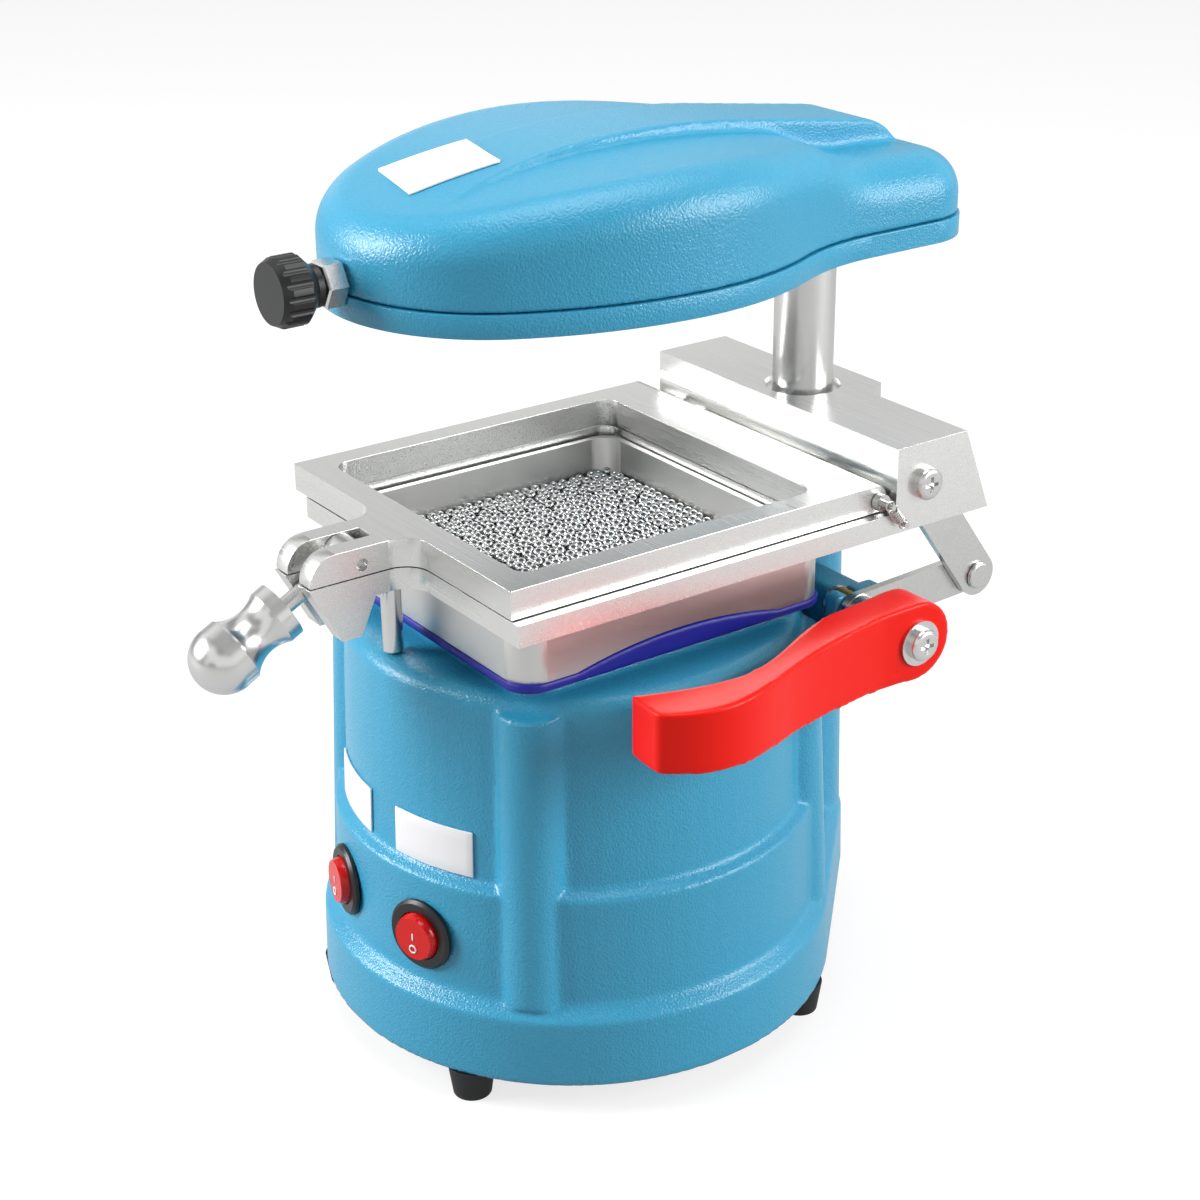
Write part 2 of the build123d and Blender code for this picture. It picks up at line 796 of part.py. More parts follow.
def rocker(plane):
    """Round rocker pressed at its lower end, with a pin into the bezel at each side."""
    reach = 1.5 * rocker_swing_radius
    high_rise = rocker_valley + reach * tan(radians(rocker_high_slope))
    low_rise = rocker_valley - reach * tan(radians(rocker_low_slope))
    across = rocker_side(plane)
    with BuildPart() as piece:
        with BuildSketch(across):
            with BuildLine():
                Polyline(
                    (-reach, low_rise),
                    (0, rocker_valley),
                    (reach, high_rise),
                    (reach, -rocker_depth),
                    (-reach, -rocker_depth),
                    close=True,
                )
            make_face()
        extrude(amount=reach, both=True)
        with Locations(across):
            Sphere(rocker_swing_radius, mode=Mode.INTERSECT)
        with BuildSketch(across):
            Circle(rocker_pin_radius)
        extrude(amount=rocker_pin_half, both=True)
    return piece


for use, angle in switch_angles.items():
    body = switch_body(switch_plane(angle))
    save(body, f"{use}_switch")
    button = rocker(switch_plane(angle))
    save(button, f"{use}_rocker")

with BuildPart() as label_plates:
    slope = (upper_radius - rim_radius) / (deck_z - upper_z)
    foot_r = upper_radius - slope * (label_bottom_z - upper_z)
    head_r = upper_radius - slope * (label_top_z - upper_z)
    for start, span in label_spans:
        spoke = Plane(
            origin=(-frame_x, -frame_y, 0),
            x_dir=(cos(radians(start)), sin(radians(start)), 0),
            z_dir=(sin(radians(start)), -cos(radians(start)), 0),
        )
        with BuildSketch(spoke):
            with BuildLine():
                Polyline(
                    (foot_r + label_gap, label_bottom_z),
                    (foot_r + label_gap + label_thickness, label_bottom_z),
                    (head_r + label_gap + label_thickness, label_top_z),
                    (head_r + label_gap, label_top_z),
                    close=True,
                )
            make_face()
        revolve(axis=drum_axis, revolution_arc=span)
save(label_plates, "label_plates")

with BuildPart() as cord_gland:
    with BuildSketch(radial_plane(gland_seat, gland_angle, gland_z)):
        Circle(gland_radius)
    extrude(amount=gland_length)
    with BuildSketch(radial_plane(drum_bottom_radius + seat_gap, gland_angle, gland_z)):
        RegularPolygon(gland_radius + gland_nut_rim, 6)
    extrude(amount=gland_nut)
    with BuildSketch(radial_plane(gland_seat, gland_angle, gland_z)):
        Circle(gland_bore_radius)
    extrude(amount=gland_length, mode=Mode.SUBTRACT)
save(cord_gland, "cord_gland")

with BuildPart() as fuse_holder:
    with BuildSketch(radial_plane(gland_seat - fuse_length, fuse_angle, gland_z)):
        Circle(fuse_radius)
    extrude(amount=drum_bottom_radius - gland_seat + fuse_length + seat_gap)
    with BuildSketch(radial_plane(drum_bottom_radius + seat_gap, fuse_angle, gland_z)):
        Circle(fuse_radius + fuse_cap_rim)
        Rectangle(2 * fuse_radius, fuse_slot_width, mode=Mode.SUBTRACT)
    extrude(amount=gland_nut)
save(fuse_holder, "fuse_holder")

with BuildPart() as terminal_block:
    with BuildSketch(level(floor_z + floor_thickness)):
        with Locations(terminal_place):
            Rectangle(terminal_length, terminal_width)
    extrude(amount=terminal_height)
    with BuildSketch(level(floor_z + floor_thickness + terminal_height)):
        with Locations(terminal_place):
            with GridLocations(terminal_length / terminal_ways, 1, terminal_ways, 1):
                Circle(terminal_screw_radius)
    extrude(amount=-terminal_height / 2, mode=Mode.SUBTRACT)
save(terminal_block, "terminal_block")


# ================= lower frame with the rear block =================
def seat_line(distance, z):
    """y of the clamp's seat plane at height z, the plane standing across the tilted bolt."""
    lean = radians(clamp_tilt)
    return clamp_y - (distance + (z - clamp_z) * sin(lean)) / cos(lean)


def window(z):
    """Square opening of the sheet frames at height z."""
    middle = (window_front_y + window_rear_y) / 2
    with BuildSketch(level(z)) as opening:
        with Locations((0, middle)):
            RectangleRounded(2 * window_half, window_rear_y - window_front_y, window_corner)
    return opening.sketch


def lug_slot(z):
    """Fork slot of the clamp lug at height z, open to the front."""
    with BuildSketch(level(z)) as slot:
        with Locations((0, slot_rear_y - lug_round * 2)):
            Rectangle(2 * slot_half, 4 * lug_round)
    return slot.sketch


def lug_corners(builder):
    """Upright inner corners where the clamp lug leaves the frame's front edge."""
    edges = builder.edges().filter_by(Axis.Z)
    corner_y = frame_front_y - frame_y
    lowest = [edge for edge in edges if abs(edge.center().Y - corner_y) < flat_gap]
    return [edge for edge in lowest if abs(abs(edge.center().X + frame_x) - lug_half) < flat_gap]


cheek_inner_x = lower_frame_right - cheek_thickness
link_slot_x = cheek_inner_x - link_slot_width
block_width = lower_frame_right + lower_frame_left
seat_distance = flange_start - clamp_backed_off - seat_gap

with BuildPart() as lower_frame:
    # plate and clamp lug
    with BuildSketch(level(lower_frame_bottom_z)):
        plate_middle = ((lower_frame_right - lower_frame_left) / 2, (frame_front_y + block_front_y) / 2)
        with Locations(plate_middle):
            Rectangle(block_width, block_front_y - frame_front_y)
        with Locations((0, (frame_front_y + lower_lug_drop_y) / 2)):
            Rectangle(2 * lug_half, frame_front_y - lower_lug_drop_y)
    extrude(amount=lower_frame_top_z - lower_frame_bottom_z)
    fillet(lug_corners(lower_frame), radius=lug_fillet)
    with BuildSketch(side(-lug_half)):
        with BuildLine():
            Polyline(
                (lower_lug_heel_y + lower_lug_heel_run, lower_frame_top_z),
                (seat_line(seat_distance, lower_frame_top_z), lower_frame_top_z),
                (seat_line(seat_distance, lower_lug_bottom_z), lower_lug_bottom_z),
                (lower_lug_heel_y, lower_lug_bottom_z),
                (lower_lug_heel_y + lower_lug_heel_run, lower_frame_bottom_z),
                close=True,
            )
        make_face()
    extrude(amount=2 * lug_half)
    # rear block with the boss round the post
    with BuildSketch(side(-lower_frame_left)):
        with BuildLine():
            Polyline(
                (block_front_y, lower_frame_bottom_z),
                (block_bottom_rear_y, lower_frame_bottom_z),
                (block_top_rear_y, block_top_z),
                (block_front_y, block_top_z),
                close=True,
            )
        make_face()
    extrude(amount=block_width)
    with BuildSketch(level(lower_frame_bottom_z)):
        with BuildLine():
            Polyline(
                (-boss_foot_half, block_top_rear_y - boss_root),
                (-boss_half, boss_rear_y),
                (boss_half, boss_rear_y),
                (boss_foot_half, block_top_rear_y - boss_root),
                close=True,
            )
        make_face()
    extrude(amount=block_top_z - lower_frame_bottom_z)
    # window, fork slot, sleeve bore
    extrude(window(lower_frame_bottom_z), amount=lower_frame_top_z - lower_frame_bottom_z, mode=Mode.SUBTRACT)
    extrude(lug_slot(lower_lug_bottom_z), amount=lower_frame_top_z - lower_lug_bottom_z, mode=Mode.SUBTRACT)
    with BuildSketch(level(lower_frame_bottom_z)):
        with Locations((0, post_y)):
            Circle(sleeve_radius + running_gap)
    extrude(amount=block_top_z - lower_frame_bottom_z, mode=Mode.SUBTRACT)
    # slot for the link behind the right cheek, and the link screw's holes
    with BuildSketch(side(link_slot_x)):
        with BuildLine():
            Polyline(
                (link_slot_front_y, lower_frame_bottom_z),
                (block_bottom_rear_y + 1, lower_frame_bottom_z),
                (block_bottom_rear_y + 1, link_slot_top_z),
                (link_slot_front_y, link_slot_top_z),
                close=True,
            )
        make_face()
    extrude(amount=link_slot_width, mode=Mode.SUBTRACT)
    with BuildSketch(side(link_slot_x - link_screw_depth)):
        with Locations((link_top_y, link_top_z)):
            Circle(link_screw_radius + running_gap)
    extrude(amount=lower_frame_right - link_slot_x + link_screw_depth, mode=Mode.SUBTRACT)
    # hinge knuckles
    for x in (-knuckle_inner_x - knuckle_width, knuckle_inner_x):
        with BuildSketch(side(x)):
            with Locations((hinge_y, (hinge_z + lower_frame_top_z) / 2)):
                Rectangle(2 * knuckle_radius, hinge_z - lower_frame_top_z)
            with Locations((hinge_y, hinge_z)):
                Circle(knuckle_radius)
        extrude(amount=knuckle_width)
        with BuildSketch(side(x)):
            with Locations((hinge_y, hinge_z)):
                Circle(hinge_pin_radius + running_gap)
        extrude(amount=knuckle_width, mode=Mode.SUBTRACT)
    # socket of the rest pin
    with BuildSketch(level(lower_frame_bottom_z)):
        with Locations((0, rest_pin_y)):
            Circle(rest_pin_radius + running_gap)
    extrude(amount=rest_pin_socket, mode=Mode.SUBTRACT)
save(lower_frame, "lower_frame")

with BuildPart() as slide_sleeve:
    with BuildSketch(level(lower_frame_bottom_z)):
        with Locations((0, post_y)):
            Circle(sleeve_radius)
            Circle(post_radius + running_gap, mode=Mode.SUBTRACT)
    extrude(amount=block_top_z - sleeve_recess - lower_frame_bottom_z)
save(slide_sleeve, "slide_sleeve")

with BuildPart() as rest_pin:
    with BuildSketch(level(deck_z + seat_gap)):
        with Locations((0, rest_pin_y)):
            Circle(rest_pin_radius)
    extrude(amount=lower_frame_bottom_z + rest_pin_socket - seat_gap - deck_z - seat_gap)
    chamfer(rest_pin.edges().group_by(Axis.Z)[0], length=rest_pin_chamfer)
save(rest_pin, "rest_pin")

with BuildPart() as hinge_pin:
    with BuildSketch(side(-frame_half + 1)):
        with Locations((hinge_y, hinge_z)):
            Circle(hinge_pin_radius)
    extrude(amount=2 * frame_half - 1)
    with BuildSketch(side(frame_half + seat_gap)):
        with Locations((hinge_y, hinge_z)):
            Circle(hinge_head_radius)
    extrude(amount=hinge_head)
    with BuildSketch(side(frame_half)):
        with Locations((hinge_y, hinge_z)):
            Circle(spring_post_radius)
    extrude(amount=spring_post_end - frame_half)
save(hinge_pin, "hinge_pin")

with BuildPart() as spring_hook:
    with BuildSketch(side(lower_frame_right)):
        with Locations((spring_hook_y, spring_hook_z)):
            Circle(hook_radius)
    extrude(amount=spring_post_end - lower_frame_right)
save(spring_hook, "spring_hook")

# ================= upper frame =================
def knuckle_notch(x):
    """Plan of the room for one hinge knuckle, open to the rear."""
    front = hinge_y - knuckle_radius - knuckle_side_gap
    with BuildSketch(level(upper_frame_bottom_z)) as notch:
        with Locations((x + knuckle_width / 2, (front + upper_frame_rear_y) / 2)):
            Rectangle(knuckle_width + 2 * knuckle_side_gap, upper_frame_rear_y - front)
    return notch.sketch


with BuildPart() as upper_frame:
    with BuildSketch(level(upper_frame_bottom_z)):
        with Locations((0, (frame_front_y + upper_frame_rear_y) / 2)):
            Rectangle(2 * frame_half, upper_frame_rear_y - frame_front_y)
        with Locations((0, (frame_front_y + lug_front_y) / 2)):
            Rectangle(2 * lug_half, frame_front_y - lug_front_y)
    extrude(amount=upper_frame_thickness)
    fillet(lug_corners(upper_frame), radius=lug_fillet)
    rear_edges = upper_frame.edges().filter_by(Axis.X).group_by(Axis.Y)[-1].sort_by(Axis.Z)
    fillet(rear_edges[-1], radius=rear_top_round)
    rear_edges = upper_frame.edges().filter_by(Axis.X).group_by(Axis.Y)[-1].sort_by(Axis.Z)
    fillet(rear_edges[0], radius=rear_bottom_round)
    front_edge = upper_frame.edges().filter_by(Axis.X).group_by(Axis.Y)[0].sort_by(Axis.Z)[-1]
    fillet(front_edge, radius=lug_round - flat_gap)
    extrude(window(upper_frame_bottom_z), amount=upper_frame_thickness, mode=Mode.SUBTRACT)
    extrude(lug_slot(upper_frame_bottom_z), amount=upper_frame_thickness, mode=Mode.SUBTRACT)
    with BuildSketch(side(-lug_half)):
        with Locations((clamp_y, clamp_z)):
            Circle(clamp_pin_radius + running_gap)
    extrude(amount=2 * lug_half, mode=Mode.SUBTRACT)
    notch_depth = hinge_z + knuckle_radius + knuckle_side_gap - upper_frame_bottom_z
    extrude(knuckle_notch(knuckle_inner_x), amount=notch_depth, mode=Mode.SUBTRACT)
    extrude(knuckle_notch(-knuckle_inner_x - knuckle_width), amount=notch_depth, mode=Mode.SUBTRACT)
    with BuildSketch(side(-frame_half)):
        with Locations((hinge_y, hinge_z)):
            Circle(hinge_pin_radius + running_gap)
    extrude(amount=2 * frame_half, mode=Mode.SUBTRACT)
save(upper_frame, "upper_frame")

with BuildPart() as clamp_pin:
    with BuildSketch(side(clamp_pin_recess - lug_half)):
        with Locations((clamp_y, clamp_z)):
            Circle(clamp_pin_radius)
    extrude(amount=2 * (lug_half - clamp_pin_recess))
save(clamp_pin, "clamp_pin")

# ================= swing clamp =================
bolt_lean = radians(clamp_tilt)
bolt_direction = (0, -cos(bolt_lean), -sin(bolt_lean))
pivot_point = (-frame_x, clamp_y - frame_y, clamp_z)


def along_bolt(distance):
    """Plane across the clamp bolt at a distance from its pivot."""
    return Plane(origin=pivot_point, x_dir=(1, 0, 0), z_dir=bolt_direction).offset(distance)


with BuildPart() as swing_bolt:
    with BuildSketch(side(-eye_half)):
        with Locations((clamp_y, clamp_z)):
            Circle(eye_radius)
    extrude(amount=2 * eye_half)
    with BuildSketch(along_bolt(0)):
        Circle(bolt_radius)
    extrude(amount=bolt_length)
    with BuildSketch(side(-eye_half)):
        with Locations((clamp_y, clamp_z)):
            Circle(clamp_pin_radius + running_gap)
    extrude(amount=2 * eye_half, mode=Mode.SUBTRACT)
save(swing_bolt, "swing_bolt")

with BuildPart() as clamp_knob:
    # turned profile: sketch x is the radius, sketch y runs out along the bolt
    upright = Vector(bolt_direction).cross(Vector(-1, 0, 0))
    lengthwise = Plane(origin=pivot_point, x_dir=(1, 0, 0), z_dir=upright)
    with BuildSketch(lengthwise):
        with BuildLine():
            flange_end = flange_start + flange_thickness
            Polyline(
                (0, flange_start),
                (flange_radius, flange_start),
                (flange_radius, flange_end),
            )
            ThreePointArc(
                (flange_radius, flange_end),
                (neck_radius, (flange_end + collar_start) / 2),
                (collar_radius - collar_edge, collar_start),
            )
            Polyline(
                (collar_radius - collar_edge, collar_start),
                (collar_radius, collar_start + collar_edge),
                (collar_radius, ball_offset),
            )
            Line((collar_radius, ball_offset), (ball_radius, ball_offset))
            ThreePointArc(
                (ball_radius, ball_offset),
                (ball_radius * sin(radians(45)), ball_offset + ball_radius * cos(radians(45))),
                (0, ball_offset + ball_radius),
            )
            Line((0, ball_offset + ball_radius), (0, flange_start))
        make_face()
    revolve(axis=Axis(pivot_point, bolt_direction))
    with BuildSketch(along_bolt(flange_start)):
        Circle(bolt_radius + running_gap)
    extrude(amount=knob_bore_end - flange_start, mode=Mode.SUBTRACT)
save(clamp_knob, "clamp_knob")


# ================= lever, crank and link =================
def bar(x, start, end, half_width):
    """Flat bar outline with round ends on the upright plane at x."""
    with BuildSketch(side(x)) as outline:
        with Locations(start, end):
            Circle(half_width)
        make_hull()
    return outline.sketch


shaft_point = (shaft_y, shaft_z)
crank_point = (crank_pin_y, crank_pin_z)
link_point = (link_top_y, link_top_z)
crank_outer_x = crank_inner_x + crank_thickness
link_inner_x = crank_outer_x + flat_gap

with BuildPart() as lever_shaft:
    with BuildSketch(side(bracket_outer_x - bracket_thickness - shaft_collar)):
        with Locations(shaft_point):
            Circle(bush_radius)
    extrude(amount=shaft_collar - flat_gap)
    with BuildSketch(side(bracket_outer_x - bracket_thickness - flat_gap)):
        with Locations(shaft_point):
            Circle(shaft_radius)
    extrude(amount=lever_outer_x - bracket_outer_x + bracket_thickness + flat_gap)
    with BuildSketch(side(lever_outer_x)):
        with Locations(shaft_point):
            Circle(lever_screw_shank + running_gap)
    extrude(amount=-lever_screw_depth, mode=Mode.SUBTRACT)
save(lever_shaft, "lever_shaft")

with BuildPart() as crank_arm:
    extrude(bar(crank_inner_x, shaft_point, crank_point, crank_half_width), amount=crank_thickness)
    with BuildSketch(side(crank_inner_x)):
        with Locations(shaft_point):
            Circle(shaft_radius + running_gap)
        with Locations(crank_point):
            Circle(crank_pin_radius + running_gap)
    extrude(amount=crank_thickness, mode=Mode.SUBTRACT)
save(crank_arm, "crank_arm")

with BuildPart() as shaft_spacer:
    with BuildSketch(side(crank_outer_x)):
        with Locations(shaft_point):
            Circle(spacer_radius)
            Circle(shaft_radius + running_gap, mode=Mode.SUBTRACT)
    extrude(amount=lever_inner_x - crank_outer_x)
save(shaft_spacer, "shaft_spacer")

with BuildPart() as lever:
    # curved arm: plan outline cut to its height seen from the side
    with BuildSketch(level(shaft_z - hub_radius)):
        with BuildLine():
            outer = Spline(arm_outer)
            inner = Spline(arm_inner)
            Line(outer @ 1, inner @ 0)
            Line(inner @ 1, (lever_inner_x, shaft_y))
            Line((lever_inner_x, shaft_y), (lever_outer_x, shaft_y))
            Line((lever_outer_x, shaft_y), outer @ 0)
        make_face()
    extrude(amount=2 * hub_radius)
    tip_y = min(arm_outer[-1][1], arm_inner[0][1]) - arm_round
    with BuildSketch(side(0)):
        with Locations(shaft_point):
            Circle(hub_radius)
        with Locations((tip_y, (arm_bottom_z + arm_top_z) / 2)):
            Rectangle(flat_gap, arm_top_z - arm_bottom_z)
        make_hull()
    extrude(amount=2 * lever_outer_x, mode=Mode.INTERSECT)
    fillet(lever.edges().filter_by(Axis.Z).group_by(Axis.Y)[0], radius=arm_round)
    with BuildSketch(side(lever_inner_x)):
        with Locations(shaft_point):
            Circle(hub_radius)
    extrude(amount=lever_outer_x - lever_inner_x)
    with BuildSketch(side(lever_inner_x)):
        with Locations(shaft_point):
            Circle(shaft_radius + running_gap)
    extrude(amount=lever_outer_x - lever_inner_x, mode=Mode.SUBTRACT)
save(lever, "lever")

with BuildPart() as lever_washer_ring:
    with BuildSketch(side(lever_outer_x)):
        with Locations(shaft_point):
            Circle(lever_washer_radius)
            Circle(lever_screw_shank + running_gap, mode=Mode.SUBTRACT)
    extrude(amount=lever_washer)
save(lever_washer_ring, "lever_washer")

with BuildPart() as lever_screw:
    with BuildSketch(side(lever_outer_x + lever_washer)):
        with Locations(shaft_point):
            Circle(lever_screw_radius)
    extrude(amount=lever_screw_head)
    fillet(lever_screw.edges().group_by(Axis.X)[-1], radius=lever_screw_head / 2)
    with BuildSketch(side(lever_outer_x + lever_washer + lever_screw_head)):
        with Locations(shaft_point):
            Rectangle(lever_screw_radius, cross_slot_width)
            Rectangle(cross_slot_width, lever_screw_radius)
    extrude(amount=-cross_slot_depth, mode=Mode.SUBTRACT)
    with BuildSketch(side(lever_outer_x + lever_washer)):
        with Locations(shaft_point):
            Circle(lever_screw_shank)
    extrude(amount=seat_gap - lever_washer - lever_screw_depth)
save(lever_screw, "lever_screw")

with BuildPart() as crank_rivet:
    with BuildSketch(side(crank_inner_x - rivet_head)):
        with Locations(crank_point):
            Circle(rivet_head_radius)
    extrude(amount=rivet_head)
    with BuildSketch(side(crank_inner_x)):
        with Locations(crank_point):
            Circle(crank_pin_radius)
    extrude(amount=link_inner_x + link_thickness + flat_gap - crank_inner_x)
    with BuildSketch(side(link_inner_x + link_thickness + flat_gap)):
        with Locations(crank_point):
            Circle(rivet_head_radius)
    extrude(amount=rivet_head)
    fillet(crank_rivet.edges().group_by(Axis.X)[-1], radius=rivet_head / 2)
save(crank_rivet, "crank_rivet")

with BuildPart() as link_bar:
    extrude(bar(link_inner_x, crank_point, link_point, link_half_width), amount=link_thickness)
    with BuildSketch(side(link_inner_x)):
        with Locations(crank_point):
            Circle(crank_pin_radius + running_gap)
        with Locations(link_point):
            Circle(link_screw_radius + link_play)
    extrude(amount=link_thickness, mode=Mode.SUBTRACT)
save(link_bar, "link_bar")

with BuildPart() as link_screw:
    with BuildSketch(side(lower_frame_right)):
        with Locations(link_point):
            Circle(link_screw_head_radius)
    extrude(amount=link_screw_head)
    fillet(link_screw.edges().group_by(Axis.X)[-1], radius=link_screw_head / 2)
    with BuildSketch(side(lower_frame_right + link_screw_head)):
        with Locations(link_point):
            Rectangle(link_screw_head_radius, cross_slot_width)
            Rectangle(cross_slot_width, link_screw_head_radius)
    extrude(amount=-cross_slot_depth, mode=Mode.SUBTRACT)
    with BuildSketch(side(link_slot_x - link_screw_depth + seat_gap)):
        with Locations(link_point):
            Circle(link_screw_radius)
    extrude(amount=lower_frame_right - link_slot_x + link_screw_depth - seat_gap)
save(link_screw, "link_screw")

# ================= heater head =================
def tangent_run(start, heading, steps, inset=0.0):
    """Arcs and straights that flow into each other: (radius, turn in degrees) or (length, 0)."""
    point = Vector(*start)
    way = Vector(cos(radians(heading)), sin(radians(heading)))
    for size, turn in steps:
        if turn == 0:
            edge = Line(point, point + way * size)
        elif turn > 0:
            edge = JernArc(point, way, size - inset, turn)
        else:
            edge = JernArc(point, way, size + inset, turn)
        point = edge @ 1
        way = edge % 1
    return point


def head_outline(z, inset=0.0):
    """Plan of the head at height z: round front, widest over the frame, straight past the post."""
    rear_y = head_rear_y - inset
    corner = head_rear_corner - inset
    with BuildSketch(level(z)) as outline:
        with BuildLine():
            waist = tangent_run((0, head_front_y + inset), 0, head_arcs, inset)
            Line(waist, (waist.X, rear_y - corner))
            JernArc((waist.X, rear_y - corner), (0, 1), corner, 90)
            Line((waist.X - corner, rear_y), (0, rear_y))
            mirror(about=Plane.YZ)
        make_face()
    return outline.sketch


def under_curve(start, heading, steps, lift):
    """Side view area between a crown curve raised by lift and the head's seam."""
    with BuildSketch(side(-head_blank_half)) as area:
        with BuildLine():
            first = (start[0], start[1] + lift)
            last = tangent_run(first, heading, steps)
            Line(last, (last.X, head_seam_z))
            Line((last.X, head_seam_z), (start[0], head_seam_z))
            Line((start[0], head_seam_z), first)
        make_face()
    return area.sketch


def dome(inset, lift, edge_round):
    """Solid head above the seam, with a rounded crown edge."""
    with BuildPart() as body:
        extrude(head_outline(head_seam_z, inset), amount=head_blank_height)
        crown_side = under_curve(crown_start, crown_heading, crown_steps, lift)
        extrude(crown_side, amount=2 * head_blank_half, mode=Mode.INTERSECT)
        wall_top = crown_start[1] + lift - crown_rim_depth
        rim = [edge for edge in body.edges() if edge.bounding_box().min.Z > wall_top]
        fillet(rim, radius=edge_round)
    return body.part


def spine():
    """Raised tongue down the middle of the head, fading into the crown at the front."""
    front_y = spine_start[0]
    rear_y = head_rear_y - head_rear_corner / 2
    with BuildPart() as body:
        with BuildSketch(level(head_seam_z)):
            with BuildLine():
                edge = ThreePointArc(
                    (spine_half + spine_flare, front_y),
                    (spine_half + spine_flare / 4, (front_y + spine_flare_y) / 2),
                    (spine_half, spine_flare_y),
                )
                Polyline(edge @ 1, (spine_half, rear_y), (0, rear_y))
                Line(edge @ 0, (0, front_y))
                mirror(about=Plane.YZ)
            make_face()
        extrude(amount=head_blank_height)
        crest = under_curve(spine_start, spine_heading, spine_steps, 0.0)
        extrude(crest, amount=2 * head_blank_half, mode=Mode.INTERSECT)
    return body.part


post_seat_z = post_top_z + seat_gap
hub_top_z = post_seat_z + hub_cap
burner_floor_z = head_bottom_z + head_floor
bars_z = burner_floor_z + seat_gap
element_z = bars_z + bar_height + seat_gap + element_wire_radius
outer_crown = dome(head_step, 0.0, head_edge_round)
inner_crown = dome(head_step + head_wall, -head_wall, head_edge_round - head_wall)

with BuildPart() as head_cover:
    add(outer_crown)
    add(spine())
    add(inner_crown, mode=Mode.SUBTRACT)
    with BuildSketch(facing(head_front_y)):
        with Locations((0, stud_z)):
            Circle(stud_radius + running_gap)
    extrude(amount=stud_tail, both=True, mode=Mode.SUBTRACT)
save(head_cover, "head_cover")

with BuildPart() as head_tray:
    extrude(head_outline(head_bottom_z), amount=head_seam_z - head_bottom_z - seam_gap)
    tray_inside = head_outline(burner_floor_z, head_step + head_wall)
    extrude(tray_inside, amount=head_seam_z - burner_floor_z, mode=Mode.SUBTRACT)
    with BuildSketch(level(head_bottom_z)):
        Circle(burner_radius)
        with Locations((0, post_y)):
            Circle(hub_outer_radius + running_gap)
    extrude(amount=head_floor, mode=Mode.SUBTRACT)
save(head_tray, "head_tray")

with BuildPart() as head_hub:
    with BuildSketch(level(head_bottom_z)):
        with Locations((0, post_y)):
            Circle(hub_outer_radius)
    extrude(amount=hub_top_z - head_bottom_z)
    with BuildSketch(level(burner_floor_z + seat_gap)):
        with Locations((0, post_y)):
            Circle(hub_outer_radius + hub_cap)
    extrude(amount=hub_cap)
    with BuildSketch(level(head_bottom_z)):
        with Locations((0, post_y)):
            Circle(post_radius + running_gap)
    extrude(amount=post_seat_z - head_bottom_z, mode=Mode.SUBTRACT)
save(head_hub, "head_hub")

with BuildPart() as reflector:
    with BuildSketch(side(0)):
        with BuildLine():
            top_z = bars_z + reflector_height
            Polyline(
                (reflector_radius, bars_z),
                (reflector_radius + reflector_thickness, bars_z),
                (reflector_radius + reflector_thickness, bars_z + reflector_skirt),
                (reflector_top_radius + reflector_thickness, top_z),
                (0, top_z),
                (0, top_z - reflector_thickness),
                (reflector_top_radius, top_z - reflector_thickness),
                (reflector_radius, bars_z + reflector_skirt - reflector_thickness),
                close=True,
            )
        make_face()
    revolve(axis=drum_axis)
save(reflector, "reflector")

with BuildPart() as element_bars:
    with BuildSketch(level(bars_z)):
        with PolarLocations((bar_start + bar_end) / 2, bar_count, start_angle=bar_first_angle):
            Rectangle(bar_end - bar_start, bar_width)
    extrude(amount=bar_height)
save(element_bars, "element_bars")

with BuildPart() as heating_element:
    for radius in element_radii:
        with BuildSketch(side(0)):
            with Locations((radius, element_z)):
                Circle(element_wire_radius)
        revolve(axis=drum_axis)
save(heating_element, "heating_element")

with BuildPart() as heater_terminals:
    with BuildSketch(level(burner_floor_z + seat_gap)):
        with Locations((0, heater_block_y)):
            Rectangle(heater_block_length, heater_block_width)
    extrude(amount=heater_block_height)
save(heater_terminals, "heater_terminals")

with BuildPart() as head_stud:
    with BuildSketch(facing(head_front_y + stud_tail)):
        with Locations((0, stud_z)):
            Circle(stud_radius)
    extrude(amount=head_front_y + stud_tail - handle_front_y - handle_radius / 2)
save(head_stud, "head_stud")

nut_rear_y = head_front_y - seat_gap
with BuildPart() as head_nuts:
    with BuildSketch(facing(nut_rear_y)):
        with Locations((0, stud_z)):
            RegularPolygon(nut_flats / 2, 6, major_radius=False)
            Circle(stud_radius + running_gap, mode=Mode.SUBTRACT)
    extrude(amount=nut_rear_y - nut_front_y)
    chamfer(head_nuts.edges().group_by(Axis.Y)[0].filter_by(GeomType.LINE), length=nut_chamfer)
    with BuildSketch(facing(head_front_y + head_step + head_wall + inner_nut_gap)):
        with Locations((0, stud_z + nut_flats / 4)):
            Rectangle(nut_flats, nut_flats / 2)
        with Locations((0, stud_z)):
            Circle(nut_flats / 2)
            Circle(stud_radius + running_gap, mode=Mode.SUBTRACT)
    extrude(amount=-head_wall)
save(head_nuts, "head_nuts")

